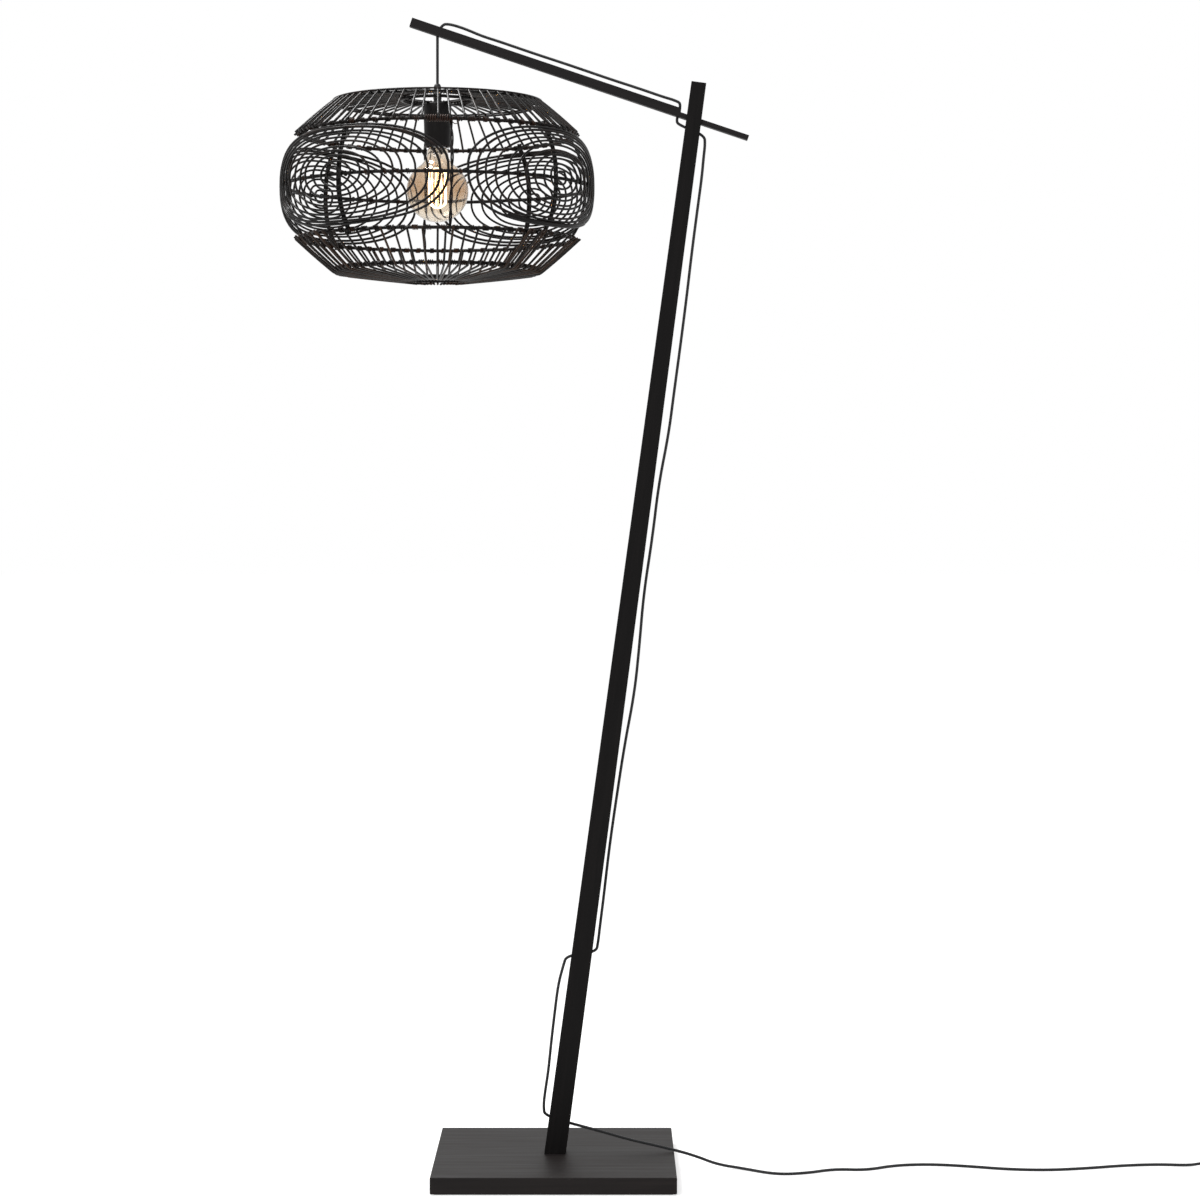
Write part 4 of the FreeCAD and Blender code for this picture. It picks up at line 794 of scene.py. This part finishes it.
# outlines of (radius, height from the holder's top)
grip_outline = [
    (0.0026, 0.0015),
    (0.0059, 0.0015),
    (0.0059, 0.0060),
    (0.0064, 0.0060),
    (0.0064, 0.0110),
    (0.0057, 0.0110),
    (0.0055, 0.0262),
    (0.0037, 0.0295),
    (0.0026, 0.0295),
]
grip = lathe("grip", rounded(grip_outline, 0.0008), HOLDER, PLASTIC, "pendant", 40)
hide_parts("cord_grip")
cap_outline = [
    (0.0190, -0.0230),
    (0.0210, -0.0230),
    (0.0210, -0.0010),
    (0.0185, 0.0),
    (0.0053, 0.0),
    (0.0053, -0.0020),
    (0.0175, -0.0020),
    (0.0190, -0.0035),
]
skirt_outline = [
    (0.0176, -0.0670),
    (0.0196, -0.0670),
    (0.0210, -0.0244),
    (0.0210, -0.0232),
    (0.0188, -0.0232),
    (0.0188, -0.0180),
    (0.0176, -0.0180),
]
for node, outline, bevel in (("holder_cap", cap_outline, 0.0012), ("holder_skirt", skirt_outline, 0.0007)):
    shell = lathe(f"{node}_shell", rounded(outline, bevel), HOLDER, ENAMEL, "pendant", 72)
    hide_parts(node)

# -------------------- bulb
GLOBE = 0.0475  # outer radius
GLASS_WALL = 0.0009
GLOBE_SPREAD = 146  # degrees of the round part, from its lowest point up to the shoulder
NECK_OUTSIDE, NECK_INSIDE = 0.0160, 0.0151
GLOBE_MID = Vector((AXIS, 0, BULB_LOW + 0.0469))
CAP_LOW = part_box("bulb_cap")[0][2] - GLOBE_MID.z
NECK_TOP = CAP_LOW - 0.0002


def glass_side(globe, neck, top, steps=22):
    """One face of the glass, from under the globe to the screw cap."""
    outline = [(0.0, -globe)]
    for k in range(1, steps + 1):
        angle = math.radians(-90 + GLOBE_SPREAD * k / steps)
        outline.append((globe * math.cos(angle), globe * math.sin(angle)))
    # a curve from the globe's shoulder into the neck
    last = Vector((*outline[-1], 0))
    handle = last + Vector((-0.78, 0.62, 0)) * 0.009
    end = Vector((neck, top, 0))
    turn = Vector((neck + 0.0004, globe * 1.08, 0))
    for k in range(1, 9):
        t = k / 8
        p = last * (1 - t) ** 3 + handle * 3 * t * (1 - t) ** 2 + turn * 3 * t * t * (1 - t) + end * t**3
        outline.append((p.x, p.y))
    return outline


outer = glass_side(GLOBE, NECK_OUTSIDE, NECK_TOP - 0.004)
inner = glass_side(GLOBE - GLASS_WALL, NECK_INSIDE, NECK_TOP - 0.004)
glass_outline = outer + [(0.0132, NECK_TOP), (0.0122, NECK_TOP)] + inner[::-1]
bulb = lathe("globe_glass", glass_outline, GLOBE_MID, AMBER, "bulb", 96, closed=False)
bulb.visible_shadow = False
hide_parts("bulb_glass")

THREAD_PITCH = 0.00363
THREAD_LONG = 0.0185
THREAD_RADIUS = 0.01265  # half way up the thread's wave
THREAD_DEPTH = 0.00045  # of the wave to each side
THREAD_STEPS = 40
thread = []
for k in range(THREAD_STEPS + 1):
    z = THREAD_LONG * k / THREAD_STEPS
    thread.append((THREAD_RADIUS + THREAD_DEPTH * math.sin(2 * math.pi * z / THREAD_PITCH), z))
cap_top = [(0.0100, 0.0208), (0.0052, 0.0220), (0.0045, 0.0220), (0.0045, 0.0212)]
cap_inside = [(0.0118, 0.0175), (0.0118, 0.0)]
CAP_FOOT = Vector((AXIS, 0, CAP_LOW + GLOBE_MID.z))
screw = lathe("screw_cap", thread + cap_top + cap_inside, CAP_FOOT, PLATED, "bulb", 64)
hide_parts("bulb_cap")

STEM_LOW, STEM_HIGH = (corner[2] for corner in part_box("bulb_stem"))
STEM_FOOT = Vector((AXIS, 0, STEM_LOW))
FILAMENT_LONG = 0.055
stem_outline = [
    (0.0, 0.0),
    (0.0016, 0.0006),
    (0.0022, 0.002),
    (0.0020, 0.030),
    (0.0022, FILAMENT_LONG),
    (0.0036, FILAMENT_LONG + 0.014),
    (0.0070, STEM_HIGH - STEM_LOW - 0.010),
    (0.0120, STEM_HIGH - STEM_LOW - 0.0005),
    (0.0, STEM_HIGH - STEM_LOW),
]
stem = lathe("glass_stem", stem_outline, STEM_FOOT, CLEAR, "bulb", 40, closed=False)
stem.visible_shadow = False
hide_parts("bulb_stem")

# upright wires round the stem, their middles further out than their ends
WIRES = 11
WIRE_RADIUS = 0.00075
WIRE_BELOW = 0.003  # how far the wires start under the stem's foot
WIRE_LONG = FILAMENT_LONG + 0.007
WIRE_INSIDE = 0.0034  # distance from the axis at the ends
WIRE_BULGE = 0.0102  # what the middle is further out
WIRE_STEPS = 16
filaments = Rods()
for i in range(WIRES):
    angle = 2 * math.pi * i / WIRES
    out = Vector((math.cos(angle), math.sin(angle), 0))
    across = Vector((-math.sin(angle), math.cos(angle), 0))
    line = []
    for k in range(WIRE_STEPS + 1):
        t = k / WIRE_STEPS
        r = WIRE_INSIDE + WIRE_BULGE * min(1.0, math.sin(math.pi * t) * 2.6) ** 0.7
        up = Vector((0, 0, WIRE_LONG * t - WIRE_BELOW))
        line.append(STEM_FOOT + out * r + across * 0.0010 * math.sin(t * 9) + up)
    filaments.add(line, WIRE_RADIUS, 6)
wires = filaments.build("filament_wires", FILAMENT, "bulb", "filament")
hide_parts("bulb_filaments")

glow = bpy.data.objects.new("bulb_light", bpy.data.lights.new("bulb_light", "POINT"))
glow.data.energy = 0.9
glow.data.color = (1.0, 0.50, 0.20)
glow.data.shadow_soft_size = 0.018
glow.location = (AXIS, 0, STEM_LOW + FILAMENT_LONG / 2)
bpy.context.scene.collection.objects.link(glow)
# it lights the cage, but isn't seen itself, not even through the glass
glow.visible_camera = False
glow.visible_glossy = False
glow.visible_transmission = False

# -------------------- cage
ROD = 0.0017  # radius of ribs and loops
HOOP = 0.0026  # radius of a hoop's rod
WAIST_RADIUS = 0.2385
SHOULDER_RADIUS = 0.2165
SHOULDER_RISE = 0.080
RIBS = 64
EYE_TURN = -36.5  # direction of the first eye, in degrees from the front
TIE = HOOP + ROD + 0.0001  # between a hoop's middle and that of a rod tied to it

# (radius, height from the waist) along a rib of each cover, from its ring to the shoulder
UPPER_RIB = (
    (0.050, 0.1379), (0.100, 0.1352), (0.1465, 0.1317), (0.1555, 0.1303),
    (0.1632, 0.1262), (0.190, 0.1040), (0.2165, 0.080),
)
LOWER_RIB = (
    (0.050, -0.1446), (0.100, -0.1386), (0.1525, -0.1318), (0.1575, -0.1305),
    (0.1620, -0.1278), (0.190, -0.1040), (0.2165, -0.080),
)
RIB_TURN = 0.45  # degrees that a rib may lie aside of its place
RIB_LEAN = 0.5  # degrees that its end may lie aside of its start
RIB_LIFT = 0.0005
RIB_LONGER = (-0.001, 0.004)
RIB_END_OUT, RIB_END_DOWN = 0.74, 0.68  # way of a rib's last fifth, outwards and towards the waist


def drum_radius(height, shoulder=SHOULDER_RADIUS, waist=WAIST_RADIUS):
    """Radius of the cage's bulging side at a height from the waist."""
    bulge = 1 - min(1.0, abs(height) / SHOULDER_RISE) ** 2.4
    return shoulder + (waist - shoulder) * bulge


def smooth_path(points, steps=3):
    """Points along a smooth line through the given ones (Catmull-Rom)."""
    points = [Vector((*p, 0)) for p in points]
    padded = [points[0] * 2 - points[1]] + points + [points[-1] * 2 - points[-2]]
    made = []
    for a, b, c, d in zip(padded, padded[1:], padded[2:], padded[3:]):
        for k in range(steps):
            t = k / steps
            bent = (2 * a - 5 * b + 4 * c - d) * t**2
            turned = (3 * b - a - 3 * c + d) * t**3
            made.append(0.5 * (2 * b + (c - a) * t + bent + turned))
    made.append(points[-1])
    return made


def ribs(name, profile, node, material, doubled=()):
    """One cover's ribs, bent over its rim; doubled are the directions of added ones."""
    rods = Rods()
    path = smooth_path(profile)
    for place in [360 * (i + 0.5) / RIBS for i in range(RIBS)] + list(doubled):
        turn = place + random.uniform(-RIB_TURN, RIB_TURN)
        lean = random.uniform(-RIB_LEAN, RIB_LEAN)
        lift = random.uniform(-RIB_LIFT, RIB_LIFT)
        longer = random.uniform(*RIB_LONGER)
        line = []
        for k, p in enumerate(path):
            t = k / (len(path) - 1)
            added = longer * max(0.0, t - 0.8) * 5
            r = p.x + added * RIB_END_OUT
            z = p.y - math.copysign(added * RIB_END_DOWN, p.y)
            line.append(at(r, WAIST + z + lift, turn + lean * t))
        rods.add(line, ROD, 8)
    piece = rods.build(name, material, "pendant", "rattan_black")
    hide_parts(node)


# directions of added ribs in the lower cover, in degrees from the front
LOWER_DOUBLED = (
    7.0, 42.4, 44.6, 48.2, 51.0, 53.4,
    -47.8, -53.5, -58.6, -64.4, -70.0,
    128.0, 150.5, 212.0, 235.5,
)
ribs("cover_ribs_top", UPPER_RIB, "upper_ribs", CANE_PAINTED_TOP_LIGHT)
ribs("cover_ribs_bottom", LOWER_RIB, "lower_ribs", CANE_PAINTED_WARM_GLOW, LOWER_DOUBLED)

HOOP_POINTS = 120
HOOP_WAVE = 0.0006
WAIST_WAVE = 0.0009
RIM_ROD = 0.0019
RIM_SHIFT = 0.0005  # of the rim's slimmer rod, outwards and up


def hoop(name, radius, height, node, thick=HOOP, wave=HOOP_WAVE):
    """A hoop that isn't quite round and level."""
    rods = Rods()
    out, rise = wobble(1, wave), wobble(2, wave, 2.0)
    line = []
    for i in range(HOOP_POINTS):
        turn = 360 * i / HOOP_POINTS
        line.append(at(radius + out(turn), height + rise(turn), turn))
    rods.add(line, thick, 10, closed=True)
    piece = rods.build(name, CANE, "pendant", "rattan_black")
    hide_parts(node)


def hoop_place(node):
    """Radius and height of a hoop's middle, from the model."""
    low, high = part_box(node)
    return (high[0] - low[0]) / 2 - HOOP, (low[2] + high[2]) / 2


HOOPS = {}
for name in (
    "top_ring",
    "top_rim_hoop",
    "upper_shoulder_hoop",
    "waist_hoop",
    "lower_shoulder_hoop",
    "bottom_rim_hoop",
    "bottom_ring",
):
    radius, height = hoop_place(name)
    HOOPS[name] = (radius, height)
    label = name.replace("hoop", "rod").replace("_ring", "_inner_rod")
    if name == "top_rim_hoop":  # a slimmer rod here, close under the ribs
        hoop(label, radius + RIM_SHIFT, height + RIM_SHIFT, name, RIM_ROD)
    else:
        hoop(label, radius, height, name, wave=WAIST_WAVE if name == "waist_hoop" else HOOP_WAVE)


STRIP = 0.0008  # radius of the split cane in a binding
STRIP_OUT = HOOP + STRIP + 0.0002  # its middle's distance from the hoop's
STRIP_STEPS = 7  # in each turn


def binding(rods, radius, height, turn, wide, winds):
    """A few turns of split cane round a hoop, centred at one direction."""
    line = []
    slant = random.uniform(-0.3, 0.3)
    for k in range(winds * STRIP_STEPS + 1):
        angle = 2 * math.pi * k / STRIP_STEPS
        across = (k / (winds * STRIP_STEPS) - 0.5) * wide
        r = radius + math.cos(angle) * STRIP_OUT
        z = height + math.sin(angle) * STRIP_OUT
        line.append(at(r, z, turn + math.degrees((across + slant * 0.001 * math.sin(angle)) / radius)))
    rods.add(line, STRIP, 5)


bindings = Rods()
for name in ("upper_shoulder_hoop", "lower_shoulder_hoop", "bottom_rim_hoop"):
    radius, height = HOOPS[name]
    for i in range(RIBS):
        turn = 360 * i / RIBS + random.uniform(-0.6, 0.6)
        binding(bindings, radius, height, turn, random.uniform(0.006, 0.010), random.choice((3, 4)))
# the waist is tied here and there, by narrower bindings
WAIST_TIED = 0.6  # share of the places
radius, height = HOOPS["waist_hoop"]
for i in range(RIBS):
    if random.random() < WAIST_TIED:
        turn = 360 * i / RIBS + random.uniform(-2, 2)
        binding(bindings, radius, height, turn, random.uniform(0.003, 0.006), 2)
bindings.build("rib_bindings", CANE_WRAP, "pendant", "rattan_black")

# a thin rod over the upper ribs' bends
COVER_RIM_RADIUS = 0.1593
COVER_RIM_RISE = 0.1306
COVER_RIM_ROD = 0.0014
cover_rim = Rods()
out, rise = wobble(1, 0.0005), wobble(2, 0.0004)
line = []
for turn in range(0, 360, 3):
    line.append(at(COVER_RIM_RADIUS + out(turn), WAIST + COVER_RIM_RISE + rise(turn), turn))
cover_rim.add(line, COVER_RIM_ROD, 8, closed=True)
cover_rim.build("cover_rim_rod", CANE, "pendant", "rattan_black")

# split cane wound round the shoulder hoop in front of the lampholder, and its loose end; their brown is
# painted warm light of the bulb
WINDING = (-1.6, 9.0)  # degrees from the front
WINDING_TURNS = 11
WINDING_RADIUS = HOOP + 0.0021
WINDING_STRIP = 0.0011
WINDING_STEPS = 12  # in each turn
CURL_STRIP = 0.0007
CURL_ASIDE, CURL_OUT, CURL_DOWN = 0.0040, 0.0058, 0.0035  # its middle, from the winding's end
CURL_HALF_WIDE, CURL_HALF_HIGH = 0.0046, 0.0052
CURL_STEPS = 24
radius, height = HOOPS["upper_shoulder_hoop"]
winding = Rods()
line = []
for k in range(WINDING_TURNS * WINDING_STEPS + 1):
    t = k / (WINDING_TURNS * WINDING_STEPS)
    angle = 2 * math.pi * k / WINDING_STEPS
    turn = WINDING[0] + (WINDING[1] - WINDING[0]) * t
    rise = WINDING_RADIUS * math.sin(angle)
    line.append(at(radius + WINDING_RADIUS * math.cos(angle), height + rise, turn))
winding.add(line, WINDING_STRIP, 7)
line = []
for k in range(CURL_STEPS + 1):
    angle = math.radians(-150 + 330 * k / CURL_STEPS)
    turn = WINDING[1] + math.degrees((CURL_ASIDE + CURL_HALF_WIDE * math.cos(angle)) / radius)
    line.append(at(radius + CURL_OUT, height - CURL_DOWN + CURL_HALF_HIGH * math.sin(angle), turn))
winding.add(line, CURL_STRIP, 6)
winding.build("front_winding", CANE_PAINTED_BULB_LIGHT, "pendant", "rattan_black")

LOOP_WIDTHS = (3.0, 6.5, 10.5, 14.5, 18.5, 22.5, 26.5, 31.0, 35.0, 38.8, 42.1)  # half, in degrees
LOOP_STEPS = 56
OUTER_LOOPS = 10  # the loops from this one on are made of a thicker rod
OUTER_LOOP_ROD = 0.0020
EYE_HIGH = 0.0725  # half height of the outer loop
EYE_REACH = 0.0775  # limit of a loop's height, before its small shifts
EXTRA_SQUARE = 0.8  # shape of the added strands, that of the outer loop
EXTRA_LOWER = 0.0018  # what an added strand is lower for each degree that it lies further in
EXTRA_OUT = 0.0036  # what it lies further out at the eye's top and foot
EXTRA_STEPS = 24


def eye_point(direction, wide, high, square, degrees):
    """A point of a loop on the drum: an oval, squarer as square falls below 1."""
    a = math.radians(degrees)
    height = math.copysign(abs(math.cos(a)) ** square, math.cos(a)) * high
    across = math.copysign(abs(math.sin(a)) ** square, math.sin(a)) * wide
    return max(-EYE_REACH, min(EYE_REACH, height)), direction + across


def eye(name, direction, node, stretch, doubled, insets):
    """Nested loops round one pair of posts; more strands join the outer one where it is doubled."""
    rods = Rods()
    for number, wide in enumerate(LOOP_WIDTHS, start=1):
        wide *= stretch
        share = number / len(LOOP_WIDTHS)
        high = EYE_HIGH * (0.55 * share + 0.45 * math.sin(math.pi / 2 * share) ** 0.85)
        square = 1 - 0.2 * share
        offset = random.uniform(-0.5, 0.5)
        rise = random.uniform(-0.0012, 0.0012)
        side_wave, high_wave = wobble(number, 0.35), wobble(number + 1, 0.0009)
        line = []
        for i in range(LOOP_STEPS):
            turn = 360 * i / LOOP_STEPS
            height, way = eye_point(direction + offset, wide, high, square, turn)
            height += rise + high_wave(turn)
            line.append(at(drum_radius(height), WAIST + height, way + side_wave(turn)))
        rods.add(line, ROD if number < OUTER_LOOPS else OUTER_LOOP_ROD, 7, closed=True)
    first, last = doubled
    for inset in insets:
        wide = LOOP_WIDTHS[-1] * stretch - inset
        high = EYE_HIGH - EXTRA_LOWER * inset
        line = []
        for i in range(EXTRA_STEPS + 1):
            turn = first + (last - first) * i / EXTRA_STEPS
            height, way = eye_point(direction, wide, high, EXTRA_SQUARE, turn)
            line.append(at(drum_radius(height) + EXTRA_OUT * abs(height) / EYE_HIGH, WAIST + height, way))
        rods.add(line, ROD, 7)
    piece = rods.build(name, CANE, "pendant", "rattan_black")
    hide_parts(node)


# side, stretch, degrees of the loop where strands are added, and how far each lies further in
EYES = (
    ("front_left", 1.045, (-25, 75), (1.6,)),
    ("front_right", 0.945, (146, 214), (0.9, 2.0)),
    ("back_right", 1.0, (-50, 12), (0.9, 2.0)),
    ("back_left", 1.0, (0, 0), ()),
)
for number, (side, stretch, doubled, insets) in enumerate(EYES):
    eye(f"loops_{side}", EYE_TURN + 90 * number, f"eye_{side}", stretch, doubled, insets)

UPRIGHT_HALF = 0.086  # half height
UPRIGHT_STEPS = 34
UPRIGHT_SWAY = 0.0008
UPRIGHT_BEND = 0.3  # degrees that a pair's middle may lie aside


def uprights(name, first, node, thick, apart, winds):
    """Four pairs of rods inside the hoops; a pair with winds is loosely twisted."""
    rods = Rods()
    waist_radius = HOOPS["waist_hoop"][0] - TIE
    shoulder_radius = HOOPS["upper_shoulder_hoop"][0] - TIE
    for i in range(4):
        start = random.uniform(0, 2 * math.pi)
        bend_by = random.uniform(-UPRIGHT_BEND, UPRIGHT_BEND)
        for side in (-1, 1):
            line = []
            for k in range(UPRIGHT_STEPS + 1):
                t = k / UPRIGHT_STEPS
                height = -UPRIGHT_HALF + 2 * UPRIGHT_HALF * t
                phase = start + 2 * math.pi * winds * t if winds else 0.0
                r = drum_radius(height, shoulder_radius, waist_radius)
                if winds:  # the pair's middle lies further in, clear of the hoops
                    r += side * apart * math.sin(phase) - apart
                aside = side * apart * math.cos(phase) + UPRIGHT_SWAY * math.sin(5 * t + start)
                turn = first + 90 * i + math.degrees(aside / shoulder_radius)
                line.append(at(r, WAIST + height, turn + bend_by * math.sin(math.pi * t)))
            rods.add(line, thick, 8)
    piece = rods.build(name, CANE, "pendant", "rattan_black")
    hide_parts(node)


uprights("posts_at_eyes", EYE_TURN, "eye_posts", 0.0020, 0.0020, 0)
uprights("posts_between", EYE_TURN + 45, "side_bars", 0.0013, 0.00132, 3)
